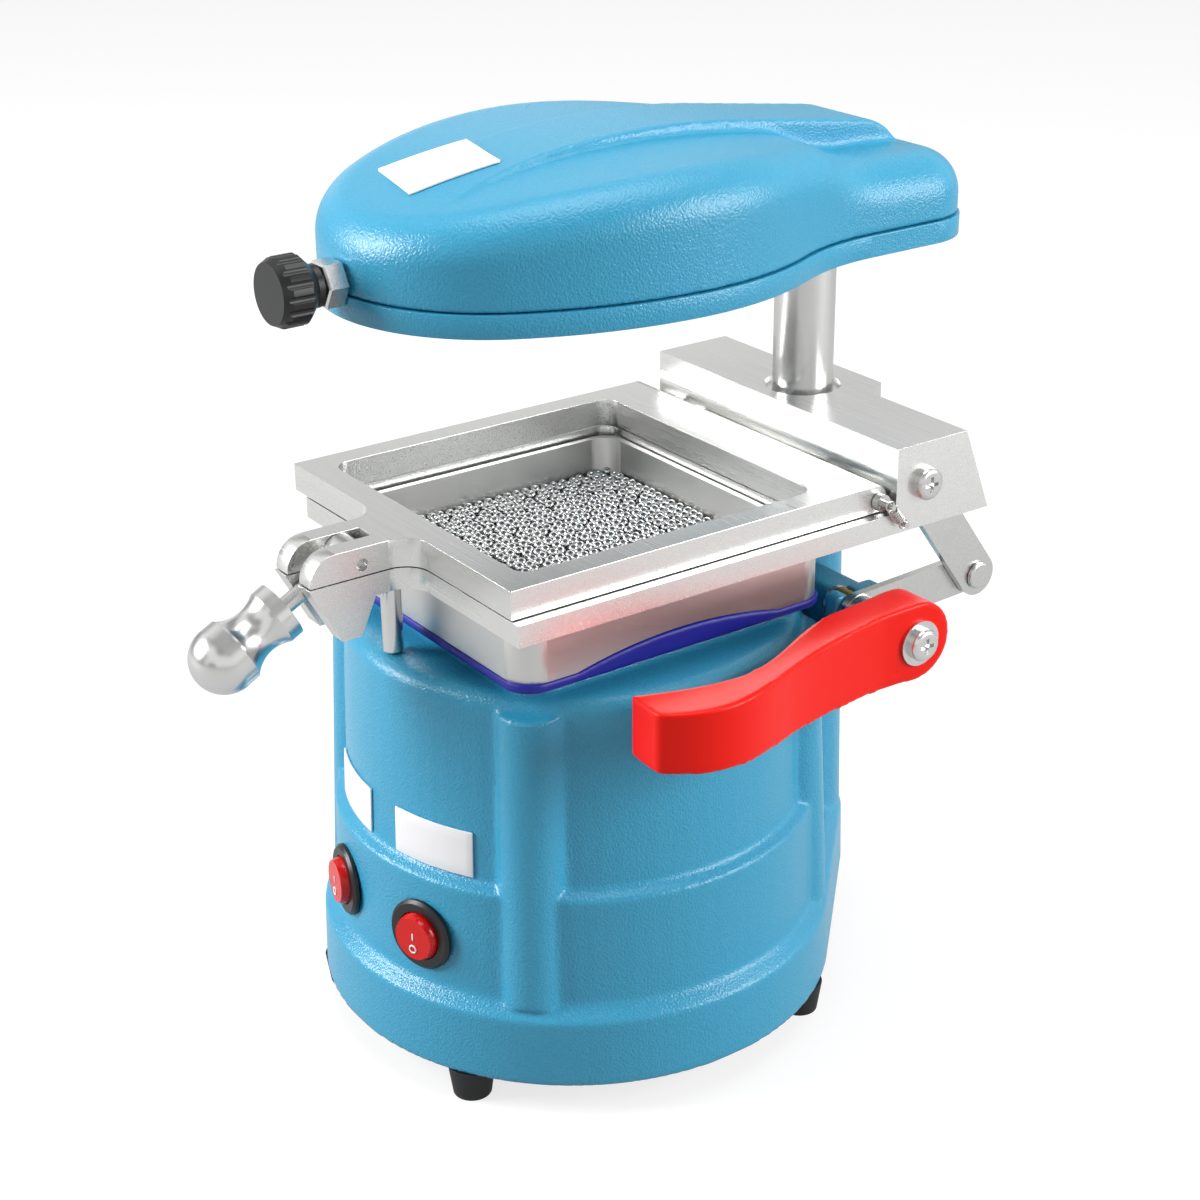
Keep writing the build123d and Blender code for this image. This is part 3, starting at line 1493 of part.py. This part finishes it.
with BuildPart() as head_handle:
    stud_axis = Axis((-frame_x, 0, stud_z), (0, 1, 0))
    crown_y = handle_front_y + 2 * flute_radius
    shoulder_y = crown_y + handle_radius * 0.6
    with BuildSketch(Plane(origin=(-frame_x, -frame_y, stud_z), x_dir=(1, 0, 0), z_dir=(0, 0, 1))):
        with BuildLine():
            Polyline(
                (0, handle_front_y),
                (handle_radius - flute_radius, handle_front_y),
                (handle_radius, crown_y),
                (handle_radius, shoulder_y),
                (handle_neck_radius, handle_rear_y - handle_neck_length),
                (handle_neck_radius, handle_rear_y),
                (0, handle_rear_y),
                close=True,
            )
        make_face()
    revolve(axis=stud_axis)
    with BuildSketch(facing(handle_front_y)):
        with Locations((0, stud_z)):
            with PolarLocations(handle_radius + flute_radius / 2, handle_flutes):
                Circle(flute_radius)
    extrude(amount=-(shoulder_y - handle_front_y + flute_radius), mode=Mode.SUBTRACT)
    with BuildSketch(facing(handle_rear_y)):
        with Locations((0, stud_z)):
            Circle(stud_radius + running_gap)
    extrude(amount=handle_rear_y - handle_front_y - handle_radius / 2 + seat_gap, mode=Mode.SUBTRACT)
save(head_handle, "head_handle")

with BuildPart() as head_label:
    with BuildSketch(level(head_seam_z)):
        with Locations(Location(head_label_place, head_label_turn)):
            Rectangle(head_label_width, head_label_length)
    extrude(amount=head_blank_height)
    # even thickness over whichever is higher, the spine or the crown
    above = under_curve(spine_start, spine_heading, spine_steps, label_gap + label_thickness)
    above += under_curve(crown_start, crown_heading, crown_steps, label_gap + label_thickness)
    extrude(above, amount=2 * head_blank_half, mode=Mode.INTERSECT)
    below = under_curve(spine_start, spine_heading, spine_steps, label_gap)
    below += under_curve(crown_start, crown_heading, crown_steps, label_gap)
    extrude(below, amount=2 * head_blank_half, mode=Mode.SUBTRACT)
save(head_label, "head_label")

# ================= spring beside the hinge =================
spring_start = Vector(spring_x - frame_x, hinge_y - frame_y, hinge_z)
spring_end = Vector(spring_x - frame_x, spring_hook_y - frame_y, spring_hook_z)
spring_span = (spring_end - spring_start).length
spring_way = (spring_end - spring_start).normalized()
coil_length = spring_span - 2 * spring_radius - 2 * spring_wire
with BuildPart() as return_spring:
    coil_foot = spring_start + spring_way * (spring_radius + spring_wire)
    helix = Helix(spring_pitch, coil_length, spring_radius, center=coil_foot, direction=spring_way)
    with BuildSketch(Plane(origin=helix @ 0, z_dir=helix % 0)):
        Circle(spring_wire)
    sweep(path=helix, is_frenet=True)
    for eye in (spring_start, spring_end):
        with BuildSketch(Plane(origin=eye, x_dir=(0, 1, 0), z_dir=(0, 0, 1))):
            with Locations((spring_radius, 0)):
                Circle(spring_wire)
        revolve(axis=Axis(eye, (1, 0, 0)))
save(return_spring, "return_spring")
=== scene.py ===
"""Looks of a tabletop vacuum former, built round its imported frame. Metres, +Z up."""
import json
import math
import random

import bpy
from mathutils import Matrix, Vector
from mathutils.bvhtree import BVHTree

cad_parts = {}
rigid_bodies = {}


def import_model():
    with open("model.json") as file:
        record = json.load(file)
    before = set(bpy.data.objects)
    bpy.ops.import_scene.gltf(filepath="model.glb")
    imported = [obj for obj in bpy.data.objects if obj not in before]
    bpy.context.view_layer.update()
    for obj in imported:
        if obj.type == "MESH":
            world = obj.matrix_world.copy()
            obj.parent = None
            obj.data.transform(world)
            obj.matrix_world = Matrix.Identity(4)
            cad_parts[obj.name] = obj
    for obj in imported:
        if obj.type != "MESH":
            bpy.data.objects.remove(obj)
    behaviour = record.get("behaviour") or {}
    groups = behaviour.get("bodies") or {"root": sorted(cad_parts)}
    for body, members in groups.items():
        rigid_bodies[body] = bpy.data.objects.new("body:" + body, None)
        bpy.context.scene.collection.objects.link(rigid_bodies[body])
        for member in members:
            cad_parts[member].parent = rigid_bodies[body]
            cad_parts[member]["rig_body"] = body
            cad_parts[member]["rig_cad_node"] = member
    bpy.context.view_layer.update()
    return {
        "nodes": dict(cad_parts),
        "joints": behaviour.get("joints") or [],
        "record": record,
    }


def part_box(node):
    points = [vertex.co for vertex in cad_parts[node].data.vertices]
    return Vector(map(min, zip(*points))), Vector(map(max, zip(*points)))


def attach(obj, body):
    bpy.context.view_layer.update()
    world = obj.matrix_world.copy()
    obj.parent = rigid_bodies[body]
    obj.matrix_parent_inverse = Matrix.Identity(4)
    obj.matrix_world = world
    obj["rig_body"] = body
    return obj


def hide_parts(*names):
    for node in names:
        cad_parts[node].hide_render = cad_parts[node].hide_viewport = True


bl_info = {
    "name": "Tabletop Vacuum Former",
    "version": (1, 0, 0),
    "blender": (4, 5, 0),
    "location": "View3D > Sidebar > Former",
    "description": "Builds the finishes and soft edges of a tabletop vacuum former",
    "category": "Object",
}

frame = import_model()
NODE_BODY = {node: body for body, nodes in frame["record"]["behaviour"]["bodies"].items() for node in nodes}
NODE_SLOT = {part["node"]: part["material_slot"] for part in frame["record"]["subparts"]}
MM = 0.001
DRUM_AXIS = next(Vector(j["pos_m"]) for j in frame["joints"] if j["name"] == "fan_spin")

# the camera, found by matching the frames, post and drum to the photograph; its place is
# measured from the drum's axis at floor level, its angles in degrees
CAMERA_PLACE = (611.13 * MM, -418.45 * MM, 485.97 * MM)
CAMERA_AZIMUTH = 54.84
CAMERA_ELEVATION = 24.19
CAMERA_ROLL = -0.56
CAMERA_LENS = 68.18
SENSOR_WIDTH = 36.0

# castings and machined parts
SEAM_LIP = 3.0 * MM  # the head's skin stays sharp this far over its seam
WELD = 0.002 * MM  # corners of one surface that lie nearer than this are one
EDGE_ANGLE = 40  # degrees; sharper edges are broken

# the shot bed, in ball diameters
BALL_SPACING = 1.02
BALL_DRIFT = 0.16
LAYER_DROP = 0.72

# marks on the rockers
SWITCH_LEAN = 1.43  # degrees that the drum's wall leans back there
MARK_PROUD = 0.12 * MM
STROKE_SIZE = (0.6 * MM, 2.6 * MM, 0.3 * MM)
RING_RADIUS = 1.35 * MM
RING_THICKNESS = 0.3 * MM

# stage: name, place and size in metres, power in watts
LAMPS = (
    ("left_softbox", (-0.9, -1.35, 0.9), 0.9, 37.0),
    ("right_softbox", (1.2, 0.95, 0.7), 0.9, 22.0),
    ("overhead", (0.0, 0.2, 1.9), 1.2, 17.0),
)
LAMP_AIM = Vector((0, 0, 0.16))
FLOOR_SIZE = 12
PAPER_GLOW = 0.76  # brings the lit paper up to white
MIRRORED_GLOW = 0.5  # share of it that reflections see
WORLD_LIGHT = 0.3
CARD_SCALE = 1.7  # how finely the grey cards are spread round the machine
CARD_SHADE = 0.38


def linear(code):
    """sRGB hex to linear red, green and blue."""
    values = [int(code[i : i + 2], 16) / 255 for i in (1, 3, 5)]
    return tuple(v / 12.92 if v <= 0.04045 else ((v + 0.055) / 1.055) ** 2.4 for v in values)


# ---------------------------------------------------------------- settings
class FormerSizes(bpy.types.PropertyGroup):
    ball: bpy.props.FloatProperty(
        name="Shot", description="Diameter of one steel ball", default=4.0 * MM, unit="LENGTH"
    )
    grain: bpy.props.FloatProperty(
        name="Coat grain", description="Size of the powder coat's orange peel", default=0.8 * MM,
        unit="LENGTH",
    )
    brush: bpy.props.FloatProperty(
        name="Brush lines", description="Spacing of the brushed lines", default=0.5 * MM, unit="LENGTH"
    )
    edge: bpy.props.FloatProperty(
        name="Broken edge", description="Width of the machined parts' broken edges", default=0.35 * MM,
        unit="LENGTH",
    )


def colour(name, description, code):
    """Colour setting with an sRGB hex default."""
    return bpy.props.FloatVectorProperty(
        name=name, description=description, subtype="COLOR", size=3, min=0, max=1, default=linear(code)
    )


class FormerColours(bpy.types.PropertyGroup):
    coat: colour("Powder coat", "Housing and heater head", "#3CA3C9")
    # painted shade: a darker coat colour laid into the hollows of the coat's grain
    coat_hollow_shade: colour("Powder coat, deep", "Hollows of the coat's grain", "#349AC0")
    lever: colour("Lever", "Coated lever", "#F01202")
    rocker: colour("Rockers", "Translucent switch rockers", "#D60602")
    pad: colour("Seal pad", "Silicone under the pan", "#050F90")
    aluminium: colour("Aluminium", "Sheet frames", "#DEDEDC")
    steel: colour("Steel", "Pan, pins and screws", "#CDCDCB")
    bright: colour("Bright steel", "Post, knob and sleeve", "#D6D6D5")
    black: colour("Black plastic", "Bezels and knob", "#0C0E10")
    plate: colour("Blank plates", "Bare label plates", "#F4F3F5")


# ---------------------------------------------------------------- materials
def add(owner, kind, values=None, links=None, **settings):
    """Add one node to a material or world, with its settings, input values and the links into it."""
    node = owner.node_tree.nodes.new(kind)
    for key, value in settings.items():
        setattr(node, key, value)
    for key, value in (values or {}).items():
        node.inputs[key].default_value = value
    for key, (source, output) in (links or {}).items():
        owner.node_tree.links.new(source.outputs[output], node.inputs[key])
    return node


def surface(name, tint, roughness, metallic=0.0):
    """New material and its shader."""
    material = bpy.data.materials.new(name)
    material.use_nodes = True
    shader = material.node_tree.nodes["Principled BSDF"]
    shader.inputs["Base Color"].default_value = (*tint, 1)
    shader.inputs["Roughness"].default_value = roughness
    shader.inputs["Metallic"].default_value = metallic
    return material, shader


def relief(material, shader, height, strength, depth):
    """Bump the shader's normal with a height texture; depth in metres."""
    bump = add(
        material, "ShaderNodeBump", {"Strength": strength, "Distance": depth}, {"Height": (height, 0)}
    )
    material.node_tree.links.new(bump.outputs["Normal"], shader.inputs["Normal"])


def powder_coat(sizes, tints):
    """Polyester powder coat on a casting: satin, with a fine orange peel that breaks up highlights, and
    painted shade in the hollows of the peel.
    """
    material, shader = surface("powder_coat_textured", tints.coat, 0.27)
    where = add(material, "ShaderNodeTexCoord")
    peel = add(
        material, "ShaderNodeTexNoise", {"Scale": 1 / sizes.grain, "Detail": 1.5, "Roughness": 0.45},
        {"Vector": (where, "Object")},
    )
    # painted shade: the peel noise that bumps the coat also darkens its low spots towards the darker coat
    # colour
    grain_shade_ramp = add(material, "ShaderNodeValToRGB", links={"Fac": (peel, 0)})
    grain_shade_ramp.color_ramp.elements[0].position = 0.2
    grain_shade_ramp.color_ramp.elements[0].color = (*tints.coat_hollow_shade, 1)
    grain_shade_ramp.color_ramp.elements[1].position = 0.8
    grain_shade_ramp.color_ramp.elements[1].color = (*tints.coat, 1)
    material.node_tree.links.new(grain_shade_ramp.outputs["Color"], shader.inputs["Base Color"])
    relief(material, shader, peel, 0.55, 0.5 * MM)
    return material


def brushed(name, tint, roughness, sizes, along, line_length=40.0):
    """Metal ground with a belt: fine lines along one axis that stretch the highlights."""
    material, shader = surface(name, tint, roughness, 1.0)
    where = add(material, "ShaderNodeTexCoord")
    scale = [1 / sizes.brush] * 3
    scale["XYZ".index(along)] = 1 / (line_length * MM)
    turned = add(material, "ShaderNodeMapping", {"Scale": scale}, {"Vector": (where, "Object")})
    lines = add(material, "ShaderNodeTexNoise", {"Scale": 1.0, "Detail": 3.0}, {"Vector": (turned, 0)})
    spread = add(
        material, "ShaderNodeMapRange",
        {"From Min": 0.3, "From Max": 0.7, "To Min": roughness - 0.05, "To Max": roughness + 0.06},
        {"Value": (lines, 0)},
    )
    material.node_tree.links.new(spread.outputs["Result"], shader.inputs["Roughness"])
    relief(material, shader, lines, 0.03, 0.02 * MM)
    return material


def grained(name, tint, roughness, grain, strength, metallic=0.0):
    """Moulded or cast skin with a fine grain of the given size in metres."""
    material, shader = surface(name, tint, roughness, metallic)
    where = add(material, "ShaderNodeTexCoord")
    noise = add(
        material, "ShaderNodeTexNoise", {"Scale": 1 / grain, "Detail": 2.0}, {"Vector": (where, "Object")}
    )
    spread = add(
        material, "ShaderNodeMapRange", {"To Min": roughness - 0.05, "To Max": roughness + 0.05},
        {"Value": (noise, 0)},
    )
    material.node_tree.links.new(spread.outputs["Result"], shader.inputs["Roughness"])
    relief(material, shader, noise, strength, 0.1 * MM)
    return material


def rocker_plastic(tints):
    """Tinted clear polycarbonate over a lamp: deep red with light passing through."""
    material = grained("rocker_polycarbonate", tints.rocker, 0.14, 2.0 * MM, 0.02)
    shader = material.node_tree.nodes["Principled BSDF"]
    shader.inputs["Subsurface Weight"].default_value = 0.35
    shader.inputs["Subsurface Radius"].default_value = (0.004, 0.0008, 0.0006)
    shader.inputs["Specular IOR Level"].default_value = 0.3
    shader.inputs["Coat Weight"].default_value = 0.1
    return material


def gloss_red(tints):
    """Thick gloss dip coat on the lever: smooth, with a slow ripple, and dim in its reflections."""
    material = grained("lever_gloss_coat", tints.lever, 0.3, 9.0 * MM, 0.05)
    material.node_tree.nodes["Principled BSDF"].inputs["Specular IOR Level"].default_value = 0.22
    return material


def finishes(sizes, tints):
    """Every finish, by the record's slot name."""
    return {
        "powder_coat": powder_coat(sizes, tints),
        "frame_aluminium": brushed("aluminium_brushed", tints.aluminium, 0.30, sizes, "X"),
        "pan_steel": brushed("pan_steel_satin", tints.steel, 0.36, sizes, "X", 15.0),
        "bright_steel": grained("steel_ground_bright", tints.bright, 0.24, 6.0 * MM, 0.01, 1.0),
        "plain_steel": grained("steel_zinc_plated", tints.steel, 0.27, 5.0 * MM, 0.02, 1.0),
        "shot_steel": grained("shot_steel_polished", tints.bright, 0.13, 3.0 * MM, 0.03, 1.0),
        "pad_silicone": grained("pad_silicone_moulded", tints.pad, 0.48, 1.0 * MM, 0.15),
        "foot_rubber": grained("rubber_moulded", tints.black, 0.62, 0.9 * MM, 0.3),
        "lever_red": gloss_red(tints),
        "rocker_red": rocker_plastic(tints),
        "black_plastic": grained("nylon_black_moulded", tints.black, 0.36, 0.9 * MM, 0.15),
        "label_white": grained("plate_vinyl_blank", tints.plate, 0.42, 1.6 * MM, 0.04),
        "motor_steel": grained("motor_shell_painted", linear("#5D6064"), 0.45, 1.0 * MM, 0.15),
        "ceramic": grained("ceramic_unglazed", linear("#E2DCCD"), 0.7, 0.8 * MM, 0.3),
        "element": grained("element_sheath_oxidised", linear("#5A5550"), 0.5, 0.7 * MM, 0.3, 0.8),
        "bronze": grained("bronze_sintered", linear("#B08A4A"), 0.4, 0.6 * MM, 0.3, 1.0),
    }


# ---------------------------------------------------------------- helpers
def only(piece):
    """Make one piece the selected and active one."""
    bpy.ops.object.select_all(action="DESELECT")
    piece.hide_set(False)
    piece.select_set(True)
    bpy.context.view_layer.objects.active = piece


def apply_modifier(piece, kind, **settings):
    """Add a modifier with its settings and apply it."""
    only(piece)
    modifier = piece.modifiers.new(kind.lower(), kind)
    for key, value in settings.items():
        setattr(modifier, key, value)
    bpy.ops.object.modifier_apply(modifier=modifier.name)


def place(piece, body, slot):
    """Ride on a body and take a slot's finish."""
    piece.data.materials.clear()
    piece.data.materials.append(bpy.data.materials[bpy.context.scene["finish_" + slot]])
    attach(piece, body)


def softened_copy(node, name, voxel, rounds, keep_below=None, share=1.0):
    """Stand in for a CAD node with one cast or moulded skin, its edges and inner corners softened.

    voxel sets how fine the skin is, rounds how far it is smoothed. keep_below leaves the skin under
    that height as sharp as it is, and share thins its faces."""
    only(frame["nodes"][node])
    bpy.ops.object.duplicate()
    piece = bpy.context.active_object
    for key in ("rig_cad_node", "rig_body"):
        if key in piece:
            del piece[key]
    piece.parent = None
    piece.name = name
    only(piece)
    bpy.ops.object.mode_set(mode="EDIT")
    bpy.ops.mesh.select_all(action="SELECT")
    bpy.ops.mesh.remove_doubles(threshold=WELD)
    bpy.ops.mesh.customdata_custom_splitnormals_clear()
    bpy.ops.object.mode_set(mode="OBJECT")
    apply_modifier(piece, "REMESH", mode="VOXEL", voxel_size=voxel)
    group = piece.vertex_groups.new(name="softened")
    soft = [v.index for v in piece.data.vertices if keep_below is None or v.co.z > keep_below]
    group.add(soft, 1.0, "REPLACE")
    apply_modifier(piece, "SMOOTH", factor=0.5, iterations=rounds, vertex_group="softened")
    if share < 1.0:
        apply_modifier(piece, "DECIMATE", ratio=share)
    piece.vertex_groups.clear()
    only(piece)
    bpy.ops.object.shade_smooth()
    place(piece, NODE_BODY[node], NODE_SLOT[node])
    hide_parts(node)


# ---------------------------------------------------------------- operators
class FORMER_OT_finishes(bpy.types.Operator):
    """Make every finish and give it to the machined parts"""

    bl_idname = "former.finishes"
    bl_label = "Finishes"

    def execute(self, context):
        scene = context.scene
        for slot, material in finishes(scene.former_sizes, scene.former_colours).items():
            scene["finish_" + slot] = material.name
        for node, piece in frame["nodes"].items():
            piece.data.materials.clear()
            piece.data.materials.append(bpy.data.materials[scene["finish_" + NODE_SLOT[node]]])
        return {"FINISHED"}


class FORMER_OT_castings(bpy.types.Operator):
    """Housing, heater head cover and lever as soft-edged coated castings"""

    bl_idname = "former.castings"
    bl_label = "Castings"

    def execute(self, context):
        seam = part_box("head_tray")[1].z
        softened_copy("base_housing", "housing_casting", 1.05 * MM, 4, share=0.5)
        softened_copy("head_cover", "head_casting", 1.0 * MM, 8, keep_below=seam + SEAM_LIP, share=0.8)
        softened_copy("lever", "lever_coated", 0.8 * MM, 6)
        return {"FINISHED"}


class FORMER_OT_seal_pad(bpy.types.Operator):
    """Moulded silicone pad under the pan"""

    bl_idname = "former.seal_pad"
    bl_label = "Seal pad"

    def execute(self, context):
        softened_copy("seal_pad", "pad_moulded", 0.7 * MM, 4)
        return {"FINISHED"}


class FORMER_OT_broken_edges(bpy.types.Operator):
    """Break the sharp edges of the machined parts, so that they catch the light"""

    bl_idname = "former.broken_edges"
    bl_label = "Broken edges"
    parts = (
        "upper_frame", "lower_frame", "shot_pan", "head_tray", "label_plates", "head_label", "rubber_feet",
    )

    def execute(self, context):
        for node in self.parts:
            piece = frame["nodes"][node]
            weld = piece.modifiers.new("weld", "WELD")
            weld.merge_threshold = WELD
            bevel = piece.modifiers.new("bevel", "BEVEL")
            bevel.width = context.scene.former_sizes.edge
            bevel.segments = 2
            bevel.limit_method = "ANGLE"
            bevel.angle_limit = math.radians(EDGE_ANGLE)
        return {"FINISHED"}


class FORMER_OT_steel_shot(bpy.types.Operator):
    """Loose bed of steel balls in the pan"""

    bl_idname = "former.steel_shot"
    bl_label = "Steel shot"

    def execute(self, context):
        ball = context.scene.former_sizes.ball
        low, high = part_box("steel_shot")
        chance = random.Random(7)
        bpy.ops.object.select_all(action="DESELECT")
        bpy.ops.mesh.primitive_ico_sphere_add(subdivisions=2, radius=ball / 2)
        seed_ball = bpy.context.active_object
        points = [v.co.copy() for v in seed_ball.data.vertices]
        faces = [tuple(p.vertices) for p in seed_ball.data.polygons]
        bpy.data.objects.remove(seed_ball)
        count = int((high.x - low.x - ball) / (ball * BALL_SPACING))
        pitch = (high.x - low.x - ball) / count
        verts, polys = [], []
        for layer in range(2):
            shift = pitch / 2 * layer
            for i in range(count + 1 - layer):
                for j in range(count + 1 - layer):
                    drift = [chance.uniform(-BALL_DRIFT, BALL_DRIFT) * ball for _ in range(3)]
                    centre = Vector((
                        low.x + ball / 2 + shift + i * pitch + drift[0],
                        low.y + ball / 2 + shift + j * pitch + drift[1],
                        high.z - ball / 2 - layer * LAYER_DROP * ball + abs(drift[2]),
                    ))
                    centre.x = min(max(centre.x, low.x + ball / 2), high.x - ball / 2)
                    centre.y = min(max(centre.y, low.y + ball / 2), high.y - ball / 2)
                    first = len(verts)
                    verts.extend(centre + p for p in points)
                    polys.extend(tuple(first + k for k in face) for face in faces)
        mesh = bpy.data.meshes.new("shot_balls")
        mesh.from_pydata(verts, [], polys)
        mesh.update()
        piece = bpy.data.objects.new("shot_balls", mesh)
        context.scene.collection.objects.link(piece)
        only(piece)
        bpy.ops.object.shade_smooth()
        place(piece, NODE_BODY["steel_shot"], "shot_steel")
        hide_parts("steel_shot")
        return {"FINISHED"}


class FORMER_OT_rocker_marks(bpy.types.Operator):
    """Plain on stroke and off ring on each rocker"""

    bl_idname = "former.rocker_marks"
    bl_label = "Rocker marks"
    stroke_up = 0.9 * MM
    ring_down = -3.9 * MM
    reach = 20 * MM

    def execute(self, context):
        for use in ("heat", "form"):
            joint = next(j for j in frame["joints"] if j["name"] == use + "_rocker_tilt")
            centre = Vector(joint["pos_m"])
            radial = Vector((centre.x - DRUM_AXIS.x, centre.y - DRUM_AXIS.y, 0)).normalized()
            out = (radial + Vector((0, 0, math.tan(math.radians(SWITCH_LEAN))))).normalized()
            along = Vector((0, 0, 1)).cross(out).normalized()
            up = out.cross(along)
            face = frame["nodes"][use + "_rocker"].data
            tree = BVHTree.FromPolygons([v.co for v in face.vertices], [p.vertices for p in face.polygons])
            for name, height in (("on", self.stroke_up), ("off", self.ring_down)):
                spot, normal, _, _ = tree.ray_cast(centre + up * height + out * self.reach, -out)
                self.mark(f"{use}_mark_{name}", use, spot, normal, along)
        return {"FINISHED"}

    def mark(self, name, use, spot, normal, along):
        """One raised mark at a spot of the rocker's face: a stroke for on, a ring for off."""
        bpy.ops.object.select_all(action="DESELECT")
        if name.endswith("on"):
            bpy.ops.mesh.primitive_cube_add(size=1)
            piece = bpy.context.active_object
            piece.data.transform(Matrix.Diagonal((*STROKE_SIZE, 1)))
            apply_modifier(piece, "BEVEL", width=0.1 * MM, segments=2)
        else:
            bpy.ops.mesh.primitive_torus_add(
                major_radius=RING_RADIUS, minor_radius=RING_THICKNESS, major_segments=32, minor_segments=8
            )
            piece = bpy.context.active_object
        piece.name = name
        up = normal.cross(along).normalized()
        turn = Matrix((up.cross(normal), up, normal)).transposed().to_4x4()
        piece.data.transform(Matrix.Translation(spot + normal * MARK_PROUD) @ turn)
        only(piece)
        bpy.ops.object.shade_smooth()
        place(piece, use + "_rocker", "label_white")


class FORMER_OT_stage(bpy.types.Operator):
    """Pale floor, soft lamps, world and camera"""

    bl_idname = "former.stage"
    bl_label = "Stage"

    def execute(self, context):
        scene = context.scene
        bpy.ops.object.select_all(action="DESELECT")
        bpy.ops.mesh.primitive_plane_add(size=FLOOR_SIZE, location=(0, 0, 0))
        floor = bpy.context.active_object
        floor.name = "floor"
        material, shader = surface("floor_paper", linear("#8E8E8E"), 0.9)
        where = add(material, "ShaderNodeTexCoord")
        tooth = add(material, "ShaderNodeTexNoise", {"Scale": 400.0}, {"Vector": (where, "Object")})
        relief(material, shader, tooth, 0.05, 0.1 * MM)
        self.paper_glow(material, shader)
        floor.data.materials.append(material)
        self.world(scene)
        for name, spot, size, power in LAMPS:
            lamp = bpy.data.lights.new(name, "AREA")
            lamp.size = size
            lamp.energy = power
            holder = bpy.data.objects.new(name, lamp)
            holder.location = spot
            aim = LAMP_AIM - Vector(spot)
            holder.rotation_euler = aim.to_track_quat("-Z", "Y").to_euler()
            scene.collection.objects.link(holder)
        self.camera(scene)
        scene.view_settings.view_transform = "Standard"
        return {"FINISHED"}

    def paper_glow(self, material, shader):
        """White to the camera and dimmer in reflections, while the paper keeps the machine's soft shadow."""
        path = add(material, "ShaderNodeLightPath")
        mirrored = add(
            material, "ShaderNodeMath", {1: MIRRORED_GLOW}, {0: (path, "Is Glossy Ray")},
            operation="MULTIPLY",
        )
        seen = add(
            material, "ShaderNodeMath", links={0: (path, "Is Camera Ray"), 1: (mirrored, 0)},
            operation="MAXIMUM",
        )
        glow = add(material, "ShaderNodeMath", {1: PAPER_GLOW}, {0: (seen, 0)}, operation="MULTIPLY")
        shader.inputs["Emission Color"].default_value = (1, 1, 1, 1)
        material.node_tree.links.new(glow.outputs[0], shader.inputs["Emission Strength"])

    def world(self, scene):
        """Soft grey light all round and a white background; reflections see grey cards in a white studio."""
        world = bpy.data.worlds.new("studio")
        world.use_nodes = True
        world.node_tree.nodes.clear()
        scene.world = world
        path = add(world, "ShaderNodeLightPath")
        seen = add(
            world, "ShaderNodeMath", links={0: (path, "Is Camera Ray"), 1: (path, "Is Glossy Ray")},
            operation="MAXIMUM",
        )
        both = add(
            world, "ShaderNodeMath", links={0: (seen, 0), 1: (path, "Is Transmission Ray")},
            operation="MAXIMUM",
        )
        light = add(world, "ShaderNodeBackground", {"Color": (1, 1, 1, 1), "Strength": WORLD_LIGHT})
        aside = add(world, "ShaderNodeTexCoord")
        cards = add(
            world, "ShaderNodeTexNoise", {"Scale": CARD_SCALE, "Detail": 0.0},
            {"Vector": (aside, "Generated")},
        )
        shade = add(
            world, "ShaderNodeMapRange", {"From Min": 0.4, "From Max": 0.56, "To Min": CARD_SHADE},
            {"Value": (cards, 0)},
        )
        bright = add(
            world, "ShaderNodeMath", links={0: (shade, "Result"), 1: (path, "Is Camera Ray")},
            operation="MAXIMUM",
        )
        white = add(world, "ShaderNodeBackground", {"Color": (1, 1, 1, 1)}, {"Strength": (bright, 0)})
        mix = add(world, "ShaderNodeMixShader", links={0: (both, 0), 1: (light, 0), 2: (white, 0)})
        add(world, "ShaderNodeOutputWorld", links={"Surface": (mix, 0)})

    def camera(self, scene):
        """Camera at the photograph's viewing angle."""
        data = bpy.data.cameras.new("camera")
        data.lens = CAMERA_LENS
        data.sensor_width = SENSOR_WIDTH
        data.clip_end = 20
        holder = bpy.data.objects.new("camera", data)
        a, e, r = (math.radians(v) for v in (CAMERA_AZIMUTH, CAMERA_ELEVATION, CAMERA_ROLL))
        back = Vector((math.sin(a) * math.cos(e), -math.cos(a) * math.cos(e), math.sin(e)))
        level = Vector((math.cos(a), math.sin(a), 0))
        up = back.cross(level)
        right = level * math.cos(r) + up * math.sin(r)
        top = up * math.cos(r) - level * math.sin(r)
        turn = Matrix((right, top, back)).transposed().to_4x4()
        spot = Vector(CAMERA_PLACE) + Vector((DRUM_AXIS.x, DRUM_AXIS.y, 0))
        holder.matrix_world = Matrix.Translation(spot) @ turn
        scene.collection.objects.link(holder)
        scene.camera = holder


class FORMER_PT_panel(bpy.types.Panel):
    """Steps that finish the former"""

    bl_idname = "FORMER_PT_panel"
    bl_label = "Former"
    bl_space_type = "VIEW_3D"
    bl_region_type = "UI"
    bl_category = "Former"

    def draw(self, context):
        for step in STEPS:
            self.layout.operator(step.bl_idname)


STEPS = (
    FORMER_OT_finishes,
    FORMER_OT_castings,
    FORMER_OT_seal_pad,
    FORMER_OT_broken_edges,
    FORMER_OT_steel_shot,
    FORMER_OT_rocker_marks,
    FORMER_OT_stage,
)
CLASSES = (FormerSizes, FormerColours, *STEPS, FORMER_PT_panel)


def register():
    for item in CLASSES:
        bpy.utils.register_class(item)
    bpy.types.Scene.former_sizes = bpy.props.PointerProperty(type=FormerSizes)
    bpy.types.Scene.former_colours = bpy.props.PointerProperty(type=FormerColours)


def unregister():
    del bpy.types.Scene.former_colours
    del bpy.types.Scene.former_sizes
    for item in reversed(CLASSES):
        bpy.utils.unregister_class(item)


def main():
    register()
    bpy.ops.former.finishes()
    bpy.ops.former.castings()
    bpy.ops.former.seal_pad()
    bpy.ops.former.broken_edges()
    bpy.ops.former.steel_shot()
    bpy.ops.former.rocker_marks()
    bpy.ops.former.stage()


if __name__ == "__main__":
    main()
